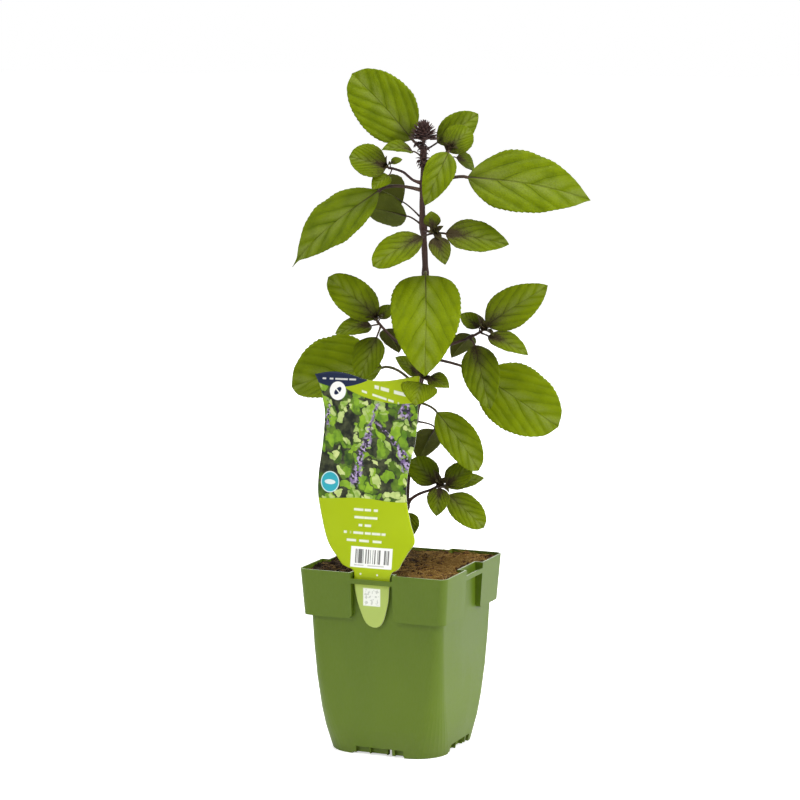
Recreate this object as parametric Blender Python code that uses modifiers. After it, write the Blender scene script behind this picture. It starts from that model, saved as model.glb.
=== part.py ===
"""A young perennial basil in a square nursery pot, with its stick-in plant label.

Frame: metres, +Z up. The origin is the middle of the pot's underside, on the centre foot, where the
pot stands. The pot's sides are square to X and Y, and the labelled side looks along -Y.
"""
import math
from collections import namedtuple

import bmesh
import bpy
from mathutils import Vector, noise

GAP = 0.0003                      # clearance between neighbouring pieces

# ---- pot -------------------------------------------------------------------------------------------
POT_HEIGHT = 0.154
RIM_SIDE = 0.130                  # across the flats, at the top of the collar
COLLAR_SIDE = 0.1247              # across the flats, at the foot of the collar
COLLAR_HEIGHT = 0.0385
COLLAR_BASE = POT_HEIGHT - COLLAR_HEIGHT
COLLAR_RADIUS = 0.0065
WALL = 0.0013
BODY_TOP_SIDE = 0.1165
BODY_TOP_RADIUS = 0.008
BODY_LEVELS = (                   # height, side across the flats, corner radius
    (0.000, 0.1010, 0.028),
    (0.010, 0.1040, 0.025),
    (0.020, 0.1070, 0.022),
    (0.036, 0.1095, 0.017),
    (0.062, 0.1125, 0.012),
    (0.090, 0.1147, 0.009),
)
CORNER_STEPS = 9                  # facets round each corner
MIN_CORNER_RADIUS = 0.002

FLOOR_TOP = 0.0090
FLOOR_THICKNESS = 0.0015
FOOT_RING = 0.0050                # width of the standing ring
EDGE_RISE = 0.0012                # how far the ring clears the ground between the corner feet
EDGE_SPAN = 0.046
CENTRE_FOOT_RADIUS = 0.010
CENTRE_FOOT_STEPS = 24
DRAIN_RADIUS = 0.005
DRAIN_STEPS = 16
DRAIN_OFFSET = 0.022
NOTCH_HEIGHT = 0.0065
NOTCH_DEPTH = 0.0030
NOTCHES = ((-0.0195, -0.0075), (-0.0065, 0.0080), (0.0150, 0.0225))   # shallow pockets, from - to
DRAIN_NOTCH = (0.0085, 0.0125)    # the notch that runs right through the ring

SLOT_WIDTH = 0.0365               # label slot in the middle of each side of the collar
SLOT_FACE = 0.0583                # from the pot's axis to the wall at the back of the slot
SLOT_CORNER = 0.004
BAR_BOTTOM = 0.1450
BAR_TOP = 0.1490
BAR_BACK = 0.0631                 # from the pot's axis to the back of the bridge bar

# ---- soil ------------------------------------------------------------------------------------------
SOIL_LEVEL = 0.1505
SOIL_ROUGHNESS = 0.0009
SOIL_LUMP_SIZE = 0.014
MOUND_CENTRE = (-0.046, -0.006)
MOUND_HEIGHT = 0.0035
MOUND_RADIUS = 0.016
SOIL_CELLS = 13
SOIL_LID_HALF = 0.078             # the lumpy lid that shapes the top is wider than the pot

# ---- label -----------------------------------------------------------------------------------------
LABEL_BOTTOM = 0.1095
LABEL_THICKNESS = 0.0005
LABEL_FACE = 0.0607               # from the pot's axis to the label, behind the bridge bar
LABEL_LEAN = 0.16                 # set-back per metre of height above the rim
LABEL_BOW = 0.003                 # how far its side edges curl back
LABEL_BOW_RUN = 0.05              # height over which they come to curl
LABEL_BEND_RUN = 0.01             # height over which the label comes to lean
LABEL_WAVE_POWER = 8              # how closely the wave of the top edge keeps to the top
LABEL_EDGES = (                   # height above the tongue's end, left edge, right edge
    (0.0000, 0.0000, 0.0030),
    (0.0015, -0.0040, 0.0060),
    (0.0045, -0.0070, 0.0085),
    (0.0095, -0.0095, 0.0105),
    (0.0220, -0.0140, 0.0135),
    (0.0350, -0.0165, 0.0145),
    (0.0455, -0.0176, 0.0160),
    (0.0490, -0.0270, 0.0215),
    (0.0550, -0.0330, 0.0246),
    (0.0635, -0.0404, 0.0293),
    (0.0720, -0.0450, 0.0338),
    (0.0870, -0.0502, 0.0285),
    (0.1040, -0.0545, 0.0240),
    (0.1200, -0.0552, 0.0233),
    (0.1350, -0.0540, 0.0250),
    (0.1500, -0.0530, 0.0284),
    (0.1700, -0.0530, 0.0290),
    (0.1820, -0.0558, 0.0287),
    (0.1925, -0.0590, 0.0285),
    (0.2020, -0.0640, 0.0290),
)
LABEL_TOP_WAVE = (-0.0012, 0.0018, 0.0008, -0.0030, -0.0036, -0.0012, 0.0025)   # left to right

# ---- stems -----------------------------------------------------------------------------------------
# Each stem is a smooth curve through its points, with its radius at the root and at the tip.
Stem = namedtuple("Stem", "points root_radius tip_radius")
STEMS = {
    "main_stem": Stem((
        (-0.0016, -0.0007, 0.118), (-0.0016, -0.0007, 0.158), (0.0015, 0.0028, 0.204),
        (0.0041, 0.0050, 0.246), (0.0106, 0.0077, 0.287), (0.0136, 0.0079, 0.321),
        (0.0158, 0.0077, 0.354), (0.0175, 0.0074, 0.391), (0.0166, 0.0060, 0.424),
        (0.0155, 0.0055, 0.445), (0.0161, 0.0057, 0.466), (0.0168, 0.0049, 0.4965)),
        0.0034, 0.0021),
    "shoot_upper_left": Stem((
        (0.0161, 0.0057, 0.466), (0.0097, -0.0002, 0.469), (0.0030, -0.0052, 0.4756),
        (-0.0041, -0.0093, 0.4785), (-0.0078, -0.0109, 0.479)), 0.0011, 0.0009),
    "shoot_upper_right": Stem((
        (0.0161, 0.0057, 0.466), (0.0236, 0.0067, 0.4706), (0.0307, 0.0086, 0.4804),
        (0.0355, 0.0095, 0.4893), (0.0370, 0.0102, 0.4934)), 0.0011, 0.0009),
    "shoot_front": Stem((
        (0.0163, 0.0058, 0.428), (0.0221, -0.0004, 0.4279), (0.0278, -0.0057, 0.4276),
        (0.0323, -0.0103, 0.4273)), 0.0011, 0.0009),
    "shoot_left": Stem((
        (0.0138, 0.0079, 0.325), (0.0041, 0.0028, 0.3302), (-0.0046, -0.0041, 0.338),
        (-0.0128, -0.0097, 0.3481), (-0.0170, -0.0126, 0.354)), 0.0012, 0.0009),
    "shoot_right": Stem((
        (0.0138, 0.0079, 0.325), (0.0249, 0.0127, 0.3293), (0.0400, 0.0169, 0.3353),
        (0.0528, 0.0179, 0.3403), (0.0633, 0.0180, 0.3461)), 0.0012, 0.0009),
    "shoot_centre": Stem((
        (0.0109, 0.0079, 0.2894), (0.0174, -0.0057, 0.2955), (0.0243, -0.0180, 0.3039),
        (0.0307, -0.0283, 0.3112)), 0.0012, 0.0009),
    "shoot_low_right": Stem((
        (0.0011, 0.0026, 0.1984), (0.0076, 0.0010, 0.2058), (0.0163, -0.0007, 0.2113),
        (0.0254, -0.0012, 0.2149), (0.0326, -0.0014, 0.2187)), 0.0013, 0.0009),
}
STEM_SAMPLE = 0.006               # spacing of the points along a side shoot
MAIN_STEM_SAMPLE = 0.016
STEM_HOLE_RADIUS = 0.0041         # hole in the soil round the buried end of the main stem
STEM_HOLE_BOTTOM = 0.112
STEM_HOLE_STEPS = 14

SPIKE_BASE = 0.4968
SPIKE_PROFILE = (                 # radius, height above the top of the main stem
    (0.0000, 0.0232), (0.0028, 0.0222), (0.0060, 0.0197), (0.0082, 0.0162), (0.0086, 0.0127),
    (0.0070, 0.0097), (0.0024, 0.0077), (0.0024, 0.0062), (0.0044, 0.0042), (0.0042, 0.0020),
    (0.0020, 0.0000), (0.0000, 0.0000),
)
SPIKE_STEPS = 12

# ---- leaves ----------------------------------------------------------------------------------------
# stem, at: where the leaf stalk leaves its stem, as a height in metres on the main stem and as a
#     part of the length on a side shoot.
# stalk: length from the stem's middle, compass direction, rise.  blade: length, width, compass
#     direction, rise.  faces: compass direction and rise that the upper side looks in.
# Compass directions are degrees anticlockwise from +X, a rise is degrees above level, lengths are
# metres. arch: how far the midrib rises above a straight line, and fold: how far the two halves of
# the blade fold up, both as parts of the size.
Leaf = namedtuple("Leaf", "name stem at stalk blade faces arch fold")
LEAVES = (
    Leaf("top_left", "main_stem", 0.492, (0.017, 152, 33),
         (0.073, 0.050, 212, 48), (288, 25), 0.03, 0.08),
    Leaf("top_right", "main_stem", 0.492, (0.016, 62, 25), (0.043, 0.026, 44, 32), (303, 10), 0.08, 0.35),
    Leaf("crown_front", "main_stem", 0.487, (0.012, 238, 27),
         (0.030, 0.015, 237, 4), (275, 38), 0.10, 0.25),
    Leaf("crown_back", "shoot_upper_right", 0.80, (0.004, 306, 79),
         (0.027, 0.025, 40, 41), (308, 32), 0.10, 0.10),
    Leaf("crown_hanging", "shoot_upper_right", 0.90, (0.011, 295, 7),
         (0.048, 0.025, 239, -60), (298, 15), 0.12, 0.40),
    Leaf("crown_bud_leaf", "shoot_upper_right", 0.72, (0.010, 38, 10),
         (0.020, 0.017, 51, -31), (323, 40), 0.10, 0.20),
    Leaf("high_right", "main_stem", 0.461, (0.040, 3, 16),
         (0.101, 0.056, 18, -10), (288, 30), 0.07, 0.06),
    Leaf("high_left", "main_stem", 0.461, (0.037, 214, -1),
         (0.093, 0.047, 209, -39), (268, 35), 0.05, 0.08),
    Leaf("side_left_round", "shoot_upper_left", 0.90, (0.005, 239, 14),
         (0.032, 0.031, 214, 15), (283, 35), 0.06, 0.10),
    Leaf("side_left_small", "shoot_upper_left", 0.88, (0.008, 265, -41),
         (0.020, 0.015, 240, -33), (293, 35), 0.12, 0.15),
    Leaf("side_left_bud", "shoot_upper_left", 0.94, (0.004, 87, 67),
         (0.010, 0.008, 35, 19), (303, 50), 0.10, 0.20),
    Leaf("backlit_left", "main_stem", 0.437, (0.023, 174, 36),
         (0.031, 0.034, 169, 23), (123, 12), 0.05, 0.08),
    Leaf("shade_left", "main_stem", 0.432, (0.016, 182, 27),
         (0.038, 0.031, 181, 8), (123, 28), 0.06, 0.08),
    Leaf("front_left", "shoot_front", 0.96, (0.010, 221, -18),
         (0.047, 0.029, 214, -29), (283, 38), 0.05, 0.10),
    Leaf("front_right", "shoot_front", 0.96, (0.010, 7, -2),
         (0.052, 0.032, 18, -9), (298, 40), 0.04, 0.10),
    Leaf("front_up", "shoot_front", 0.95, (0.004, 135, 74),
         (0.014, 0.014, 135, 72), (293, 10), 0.08, 0.15),
    Leaf("front_down", "shoot_front", 0.99, (0.007, 300, -24),
         (0.025, 0.018, 331, -59), (303, 25), 0.10, 0.15),
    Leaf("middle_hanging", "main_stem", 0.393, (0.016, 293, -2),
         (0.087, 0.057, 293, -63), (291, 22), 0.08, 0.06),
    Leaf("middle_back", "main_stem", 0.393, (0.018, 110, -24),
         (0.071, 0.052, 107, -59), (115, 35), 0.08, 0.07),
    Leaf("left_upper", "shoot_left", 0.93, (0.005, 251, 69),
         (0.053, 0.031, 209, 40), (283, 30), 0.05, 0.10),
    Leaf("left_lower", "shoot_left", 0.92, (0.009, 246, -4),
         (0.032, 0.020, 224, -9), (288, 45), 0.08, 0.18),
    Leaf("left_small", "shoot_left", 0.97, (0.004, 84, 37),
         (0.016, 0.012, 65, 42), (303, 30), 0.08, 0.20),
    Leaf("left_dark", "shoot_left", 0.80, (0.008, 110, -9),
         (0.026, 0.020, 62, -52), (103, 40), 0.08, 0.15),
    Leaf("left_big", "main_stem", 0.298, (0.040, 168, 21),
         (0.077, 0.062, 201, -12), (283, 42), 0.05, 0.40),
    Leaf("left_hanging", "shoot_left", 0.88, (0.012, 268, -46),
         (0.039, 0.027, 240, -65), (278, 25), 0.10, 0.20),
    Leaf("centre_left", "shoot_centre", 0.93, (0.006, 171, 46),
         (0.024, 0.017, 218, 36), (293, 45), 0.05, 0.12),
    Leaf("centre_right", "shoot_centre", 0.93, (0.005, 3, 17),
         (0.020, 0.016, 354, -20), (298, 40), 0.08, 0.25),
    Leaf("centre_front", "shoot_centre", 0.97, (0.007, 283, -23),
         (0.024, 0.030, 273, -41), (288, 25), 0.10, 0.15),
    Leaf("right_upper", "shoot_right", 0.95, (0.008, 13, 46),
         (0.060, 0.034, 27, 33), (293, 25), 0.04, 0.10),
    Leaf("right_inner", "shoot_right", 0.95, (0.004, 121, 61),
         (0.020, 0.016, 175, 32), (298, 35), 0.06, 0.20),
    Leaf("right_lower", "shoot_right", 0.95, (0.010, 338, -12),
         (0.037, 0.020, 2, -23), (298, 45), 0.08, 0.20),
    Leaf("right_hanging", "shoot_right", 0.76, (0.009, 324, -38),
         (0.054, 0.031, 340, -71), (288, 15), 0.08, 0.15),
    Leaf("right_dark", "shoot_right", 0.62, (0.012, 64, 17),
         (0.030, 0.019, 163, -42), (103, 40), 0.08, 0.15),
    Leaf("right_big", "main_stem", 0.324, (0.051, 30, -18),
         (0.078, 0.058, 12, -33), (293, 28), 0.04, 0.06),
    Leaf("low_right_hanging", "main_stem", 0.287, (0.020, 353, -24),
         (0.059, 0.031, 6, -53), (308, 22), 0.08, 0.15),
    Leaf("low_dark", "main_stem", 0.271, (0.022, 56, -25),
         (0.038, 0.024, 142, -49), (118, 30), 0.08, 0.10),
    Leaf("low_round", "shoot_low_right", 0.97, (0.004, 123, 33),
         (0.029, 0.024, 182, 40), (293, 20), 0.05, 0.08),
    Leaf("low_up", "shoot_low_right", 0.95, (0.008, 18, 10),
         (0.026, 0.021, 39, 34), (293, 35), 0.06, 0.15),
    Leaf("low_far", "shoot_low_right", 0.94, (0.014, 75, -7),
         (0.033, 0.017, 37, 11), (303, 50), 0.06, 0.15),
    Leaf("low_down", "shoot_low_right", 0.98, (0.007, 312, -3),
         (0.024, 0.019, 274, -63), (288, 30), 0.08, 0.20),
    Leaf("low_tip", "shoot_low_right", 0.93, (0.012, 17, -32),
         (0.040, 0.026, 4, -40), (298, 35), 0.05, 0.12),
    Leaf("low_hidden", "main_stem", 0.200, (0.013, 106, -38),
         (0.025, 0.018, 90, -64), (303, 30), 0.08, 0.15),
)
STALK_STATIONS = (0.0, 0.35, 0.75)
STALK_BEND = 0.35                 # part of the stalk that turns into the blade's direction
STALK_MIN_RADIUS = 0.0003
STALK_RADIUS_RATE = 0.011         # added per metre of blade
BLADE_OUTLINE = (                 # part of the blade's length, part of its half width
    (0.02, 0.16), (0.12, 0.66), (0.26, 0.96), (0.41, 1.00), (0.61, 0.88), (0.80, 0.58), (0.93, 0.25),
    (1.00, 0.03),
)
BLADE_NECK = 0.1                  # below this part of its length the blade is as thick as its stalk
BLADE_THICKNESS = 0.0007
BLADE_SECTION = ((-1, 0), (-0.5, 1), (0, 1), (0.5, 1), (1, 0), (0, -1))   # across, above
SECTION_ANGLES = (180, 130, 90, 50, 0, 270)      # corners of a leaf's cross-section, in degrees

# ---- finishes: linear colour, roughness --------------------------------------------------------------
FINISHES = {
    "pot_plastic": ((0.13, 0.20, 0.035), 0.42),
    "compost": ((0.045, 0.022, 0.010), 0.95),
    "label_film": ((0.40, 0.52, 0.01), 0.35),
    "purple_stem": ((0.06, 0.022, 0.030), 0.55),
    "leaf_green": ((0.12, 0.24, 0.010), 0.50),
    "spike_purple": ((0.035, 0.014, 0.018), 0.65),
}


def clear_scene():
    """Remove the objects that a new file starts with."""
    for thing in list(bpy.data.objects):
        bpy.data.objects.remove(thing, do_unlink=True)


def new_collection(name):
    """Add an empty collection to the scene."""
    collection = bpy.data.collections.new(name)
    bpy.context.scene.collection.children.link(collection)
    return collection


def finish(name):
    """Return the named Principled material, made on first use."""
    material = bpy.data.materials.get(name)
    if material is None:
        colour, roughness = FINISHES[name]
        material = bpy.data.materials.new(name)
        material.use_nodes = True
        shader = material.node_tree.nodes["Principled BSDF"]
        shader.inputs["Base Color"].default_value = (*colour, 1.0)
        shader.inputs["Roughness"].default_value = roughness
        shader.inputs["Metallic"].default_value = 0.0
        material.diffuse_color = (*colour, 1.0)
    return material


def mesh_object(name, build, collection, smooth_angle=None):
    """Make an object whose mesh is filled by build(bm), with its faces pointing out."""
    bm = bmesh.new()
    build(bm)
    bmesh.ops.recalc_face_normals(bm, faces=bm.faces)
    mesh = bpy.data.meshes.new(name)
    bm.to_mesh(mesh)
    bm.free()
    if smooth_angle is not None:
        mesh.shade_smooth()
        mesh.set_sharp_from_angle(angle=math.radians(smooth_angle))
    thing = bpy.data.objects.new(name, mesh)
    collection.objects.link(thing)
    return thing


def make_part(thing, material_name, parent):
    """Give a sub-part its material and hang it on the assembly."""
    thing.data.materials.clear()
    thing.data.materials.append(finish(material_name))
    thing.parent = parent
    return thing


def make_cutter(thing):
    """Mark an object as a cutter, which is not part of the model."""
    thing.hide_render = True
    thing.display_type = "WIRE"
    return thing


def boolean(target, cutter, operation="DIFFERENCE"):
    """Cut or join with the exact solver."""
    modifier = target.modifiers.new(cutter.name, "BOOLEAN")
    modifier.operation = operation
    modifier.object = cutter
    modifier.solver = "EXACT"


def loft(bm, rings):
    """Skin a row of closed rings with the same number of points, and cap both ends."""
    rows = [[bm.verts.new(point) for point in ring] for ring in rings]
    count = len(rows[0])
    for lower, upper in zip(rows, rows[1:]):
        for i in range(count):
            j = (i + 1) % count
            bm.faces.new((lower[i], lower[j], upper[j], upper[i]))
    bm.faces.new(list(reversed(rows[0])))
    bm.faces.new(rows[-1])


def rounded_square(side, radius, height):
    """Points of a square ring with round corners, anticlockwise seen from above."""
    inner = side / 2 - radius
    points = []
    for corner, (x_sign, y_sign) in enumerate(((1, 1), (-1, 1), (-1, -1), (1, -1))):
        for step in range(CORNER_STEPS + 1):
            angle = math.radians(90 * corner + 90 * step / CORNER_STEPS)
            points.append((x_sign * inner + radius * math.cos(angle),
                           y_sign * inner + radius * math.sin(angle), height))
    return points


def box(name, low, high, collection):
    """A box between two corners."""
    def build(bm):
        bmesh.ops.create_cube(bm, size=1.0)
        for vert in bm.verts:
            for axis in range(3):
                vert.co[axis] = low[axis] if vert.co[axis] < 0 else high[axis]
    return mesh_object(name, build, collection)


def cylinder(name, radius, low, high, centre, steps, collection):
    """An upright cylinder between two heights."""
    def build(bm):
        bmesh.ops.create_cone(bm, cap_ends=True, segments=steps, radius1=radius, radius2=radius,
                              depth=high - low)
        bmesh.ops.translate(bm, verts=bm.verts, vec=(centre[0], centre[1], (low + high) / 2))
    return mesh_object(name, build, collection)


def turn_about_axis(thing, quarter):
    """Turn an object about the pot's axis by quarter turns."""
    thing.rotation_euler.z = quarter * math.pi / 2


# ---- pot ---------------------------------------------------------------------------------------------
def cavity_levels(inset, top):
    """Heights, sides and radii of the room inside the pot, kept an inset away from the outside."""
    levels = []
    for height, side, radius in BODY_LEVELS:
        if height > FLOOR_TOP:
            levels.append((height, side - 2 * inset, max(radius - inset, MIN_CORNER_RADIUS)))
    low, high = BODY_LEVELS[0], BODY_LEVELS[1]
    share = FLOOR_TOP / (high[0] - low[0])
    floor_side = low[1] + share * (high[1] - low[1]) - 2 * inset
    levels.insert(0, (FLOOR_TOP + inset - WALL, floor_side, high[2]))
    ledge = COLLAR_BASE + inset
    levels.append((ledge, BODY_TOP_SIDE - 2 * inset, BODY_TOP_RADIUS - inset))
    levels.append((ledge, COLLAR_SIDE - 2 * inset, COLLAR_RADIUS - inset))
    slope = (RIM_SIDE - COLLAR_SIDE) / COLLAR_HEIGHT
    top_side = COLLAR_SIDE + slope * (top - COLLAR_BASE) - 2 * inset
    levels.append((top, top_side, COLLAR_RADIUS - inset))
    return levels


def slot_outline(half_width, low, high):
    """Outline of a label slot in X and Z, flared by a round corner at the foot of the collar."""
    base = COLLAR_BASE
    points = [(-half_width - SLOT_CORNER, low), (half_width + SLOT_CORNER, low)]
    for step in range(CORNER_STEPS + 1):
        angle = math.radians(270 - 90 * step / CORNER_STEPS)
        points.append((half_width + SLOT_CORNER * (1 + math.cos(angle)),
                       base + SLOT_CORNER * (1 + math.sin(angle))))
    points.append((half_width, high))
    points.append((-half_width, high))
    for step in range(CORNER_STEPS + 1):
        angle = math.radians(-90 * step / CORNER_STEPS)
        points.append((-half_width - SLOT_CORNER * (1 - math.cos(angle)),
                       base + SLOT_CORNER * (1 + math.sin(angle))))
    return points


def slot_prism(name, half_width, low, high, near, far, collection):
    """A slot outline pushed through from one distance in front of the pot's axis to another."""
    outline = slot_outline(half_width, low, high)

    def build(bm):
        loft(bm, [[(x, -near, z) for x, z in outline], [(x, -far, z) for x, z in outline]])
    return mesh_object(name, build, collection)


def build_cavity(name, inset, top, cutters):
    """The room inside the pot: a loft, with the back of each label slot left standing in it."""
    levels = cavity_levels(inset, top)
    cavity = mesh_object(name, lambda bm: loft(bm, [rounded_square(s, r, z) for z, s, r in levels]),
                         cutters)
    for quarter in range(4):
        keep = slot_prism(f"{name}_slot_back_{quarter}", SLOT_WIDTH / 2 + inset, COLLAR_BASE - WALL,
                          POT_HEIGHT + 2 * WALL, SLOT_FACE - inset, RIM_SIDE, cutters)
        turn_about_axis(make_cutter(keep), quarter)
        boolean(cavity, keep)
    return cavity


def build_pot(parts, cutters, parent):
    """The moulded pot: body, collar, label slots with bridge bars, floor, foot ring and notches."""
    levels = [*BODY_LEVELS, (COLLAR_BASE, BODY_TOP_SIDE, BODY_TOP_RADIUS),
              (COLLAR_BASE, COLLAR_SIDE, COLLAR_RADIUS), (POT_HEIGHT, RIM_SIDE, COLLAR_RADIUS)]
    pot = mesh_object("pot", lambda bm: loft(bm, [rounded_square(s, r, z) for z, s, r in levels]),
                      parts)
    boolean(pot, make_cutter(build_cavity("pot_room", WALL, POT_HEIGHT + WALL, cutters)))

    outside = RIM_SIDE / 2 + WALL
    half_slot = SLOT_WIDTH / 2
    for quarter in range(4):
        side_cutters = [
            slot_prism(f"slot_{quarter}", half_slot, COLLAR_BASE - GAP, BAR_BOTTOM, SLOT_FACE, outside,
                       cutters),
            box(f"slot_behind_bar_{quarter}", (-half_slot, -BAR_BACK, BAR_BOTTOM - WALL),
                (half_slot, -SLOT_FACE, BAR_TOP + WALL), cutters),
            box(f"slot_above_bar_{quarter}", (-half_slot, -outside, BAR_TOP),
                (half_slot, -SLOT_FACE, POT_HEIGHT + WALL), cutters),
            box(f"edge_rise_{quarter}", (-EDGE_SPAN / 2, -outside, -WALL),
                (EDGE_SPAN / 2, -BODY_LEVELS[0][1] / 2 + FOOT_RING + WALL, EDGE_RISE), cutters),
            box(f"drain_notch_{quarter}", (DRAIN_NOTCH[0], -outside, -WALL),
                (DRAIN_NOTCH[1], -BODY_LEVELS[0][1] / 2 + FOOT_RING + WALL, NOTCH_HEIGHT), cutters),
        ]
        for number, (start, stop) in enumerate(NOTCHES):
            side_cutters.append(box(f"notch_{quarter}_{number}", (start, -outside, -WALL),
                                    (stop, -BODY_LEVELS[0][1] / 2 + NOTCH_DEPTH, NOTCH_HEIGHT),
                                    cutters))
        for cutter in side_cutters:
            turn_about_axis(make_cutter(cutter), quarter)
            boolean(pot, cutter)

    under_side = BODY_LEVELS[0][1] - 2 * FOOT_RING
    under_radius = BODY_LEVELS[0][2] - FOOT_RING
    under = mesh_object("under_floor", lambda bm: loft(bm, [
        rounded_square(under_side, under_radius, z) for z in (-WALL, FLOOR_TOP - FLOOR_THICKNESS)]),
        cutters)
    centre_foot = cylinder("centre_foot", CENTRE_FOOT_RADIUS, -2 * WALL, FLOOR_TOP, (0, 0),
                           CENTRE_FOOT_STEPS, cutters)
    boolean(under, make_cutter(centre_foot))
    boolean(pot, make_cutter(under))

    for x_sign in (-1, 1):
        for y_sign in (-1, 1):
            hole = cylinder(f"drain_hole_{x_sign}_{y_sign}", DRAIN_RADIUS, 0.0, FLOOR_TOP + WALL,
                            (x_sign * DRAIN_OFFSET, y_sign * DRAIN_OFFSET), DRAIN_STEPS, cutters)
            boolean(pot, make_cutter(hole))
    return make_part(pot, "pot_plastic", parent)


# ---- soil --------------------------------------------------------------------------------------------
def soil_height(x, y):
    """Height of the compost's top at a place in the pot."""
    lumps = noise.noise(Vector((x, y, 0.0)) / SOIL_LUMP_SIZE)
    away = math.hypot(x - MOUND_CENTRE[0], y - MOUND_CENTRE[1]) / MOUND_RADIUS
    return SOIL_LEVEL + SOIL_ROUGHNESS * lumps + MOUND_HEIGHT * math.exp(-away * away)


def build_soil(parts, cutters, parent):
    """The block of compost: it fills the pot, with a lumpy top and a hole for the stem."""
    def build_top(bm):
        bmesh.ops.create_grid(bm, x_segments=SOIL_CELLS, y_segments=SOIL_CELLS, size=SOIL_LID_HALF)
        lid = bmesh.ops.extrude_face_region(bm, geom=list(bm.faces))["geom"]
        lid = {item for item in lid if isinstance(item, bmesh.types.BMVert)}
        for vert in bm.verts:
            vert.co.z = soil_height(vert.co.x, vert.co.y) if vert in lid else -WALL

    soil = build_cavity("potting_soil", WALL + GAP, POT_HEIGHT, cutters)
    cutters.objects.unlink(soil)
    parts.objects.link(soil)
    boolean(soil, make_cutter(mesh_object("soil_top", build_top, cutters)), "INTERSECT")
    foot = STEMS["main_stem"].points[0]
    surface = STEMS["main_stem"].points[1]
    hole_centre = ((foot[0] + surface[0]) / 2, (foot[1] + surface[1]) / 2)
    hole = cylinder("stem_hole", STEM_HOLE_RADIUS + GAP, STEM_HOLE_BOTTOM, POT_HEIGHT + WALL,
                    hole_centre, STEM_HOLE_STEPS, cutters)
    boolean(soil, make_cutter(hole))
    return make_part(soil, "compost", parent)


# ---- label -------------------------------------------------------------------------------------------
def label_point(x, height, across):
    """Place a point of the label: behind the bar it stands upright, above the rim it leans back."""
    z = LABEL_BOTTOM + height
    above = max(z - BAR_TOP, 0.0)
    curl = LABEL_BOW * (2 * across - 1) ** 2 * min(above / LABEL_BOW_RUN, 1.0)
    lean = LABEL_LEAN * above * min(above / LABEL_BEND_RUN, 1.0)
    return Vector((x, -LABEL_FACE + lean + curl, z))


def build_label(parts, parent):
    """The die-cut label: a thin bent sheet, thickened with Solidify."""
    columns = len(LABEL_TOP_WAVE)
    top = LABEL_EDGES[-1][0]

    def build(bm):
        rows = []
        for height, left, right in LABEL_EDGES:
            row = []
            for column, wave in enumerate(LABEL_TOP_WAVE):
                across = column / (columns - 1)
                rise = wave * (height / top) ** LABEL_WAVE_POWER
                row.append(bm.verts.new(label_point(left + across * (right - left), height + rise,
                                                    across)))
            rows.append(row)
        for lower, upper in zip(rows, rows[1:]):
            for i in range(columns - 1):
                bm.faces.new((lower[i], lower[i + 1], upper[i + 1], upper[i]))

    label = mesh_object("plant_label", build, parts, smooth_angle=40)
    thick = label.modifiers.new("film", "SOLIDIFY")
    thick.thickness = LABEL_THICKNESS
    thick.offset = 0.0
    thick.use_even_offset = True
    return make_part(label, "label_film", parent)


# ---- stems -------------------------------------------------------------------------------------------
def smooth_path(points, spacing):
    """Points along a Catmull-Rom curve through the given ones, about a spacing apart."""
    points = [Vector(point) for point in points]
    points = [2 * points[0] - points[1], *points, 2 * points[-1] - points[-2]]
    path = []
    for before, start, end, after in zip(points, points[1:], points[2:], points[3:]):
        steps = max(1, round((end - start).length / spacing))
        for step in range(steps):
            t = step / steps
            path.append(0.5 * (2 * start + (end - before) * t
                               + (2 * before - 5 * start + 4 * end - after) * t * t
                               + (3 * start - before - 3 * end + after) * t * t * t))
    path.append(points[-2])
    return path


def stem_path(name):
    """The points of a stem; a side shoot starts just outside the main stem."""
    stem = STEMS[name]
    if name == "main_stem":
        return smooth_path(stem.points, MAIN_STEM_SAMPLE)
    path = smooth_path(stem.points, STEM_SAMPLE)
    clear = main_radius_at(path[0].z) + stem.root_radius + GAP
    start = path[0]
    while (path[0] - start).xy.length < clear:
        path.pop(0)
    first_step = path[0] - start
    return [start + first_step * (clear / first_step.xy.length), *path]


def main_radius_at(height):
    """Radius of the main stem at a height."""
    stem = STEMS["main_stem"]
    low, high = stem.points[0][2], stem.points[-1][2]
    share = (height - low) / (high - low)
    return stem.root_radius + share * (stem.tip_radius - stem.root_radius)


def place_on_stem(name, at):
    """Middle, direction and radius of a stem, at a height on the main stem or a share of a shoot."""
    stem = STEMS[name]
    path = stem_path(name)
    if name == "main_stem":
        for lower, upper in zip(path, path[1:]):
            if upper.z >= at:
                share = (at - lower.z) / (upper.z - lower.z)
                return lower.lerp(upper, share), (upper - lower).normalized(), main_radius_at(at)
    length = sum((b - a).length for a, b in zip(path, path[1:]))
    along = at * length
    for start, end in zip(path, path[1:]):
        step = (end - start).length
        if along <= step:
            return start.lerp(end, along / step), (end - start).normalized(), stem.tip_radius
        along -= step
    return path[-1], (path[-1] - path[-2]).normalized(), stem.tip_radius


def build_stem(name, parts, parent):
    """A stem as a round wire that tapers along its path."""
    stem = STEMS[name]
    path = stem_path(name)
    data = bpy.data.curves.new(name, "CURVE")
    data.dimensions = "3D"
    data.bevel_depth = 1.0
    data.bevel_resolution = 2 if name == "main_stem" else 1
    data.use_fill_caps = True
    spline = data.splines.new("POLY")
    spline.points.add(len(path) - 1)
    for number, (point, place) in enumerate(zip(spline.points, path)):
        share = number / (len(path) - 1)
        point.co = (*place, 1.0)
        point.radius = stem.root_radius + share * (stem.tip_radius - stem.root_radius)
    wire = bpy.data.objects.new(name, data)
    parts.objects.link(wire)
    return make_part(wire, "purple_stem", parent)


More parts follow.
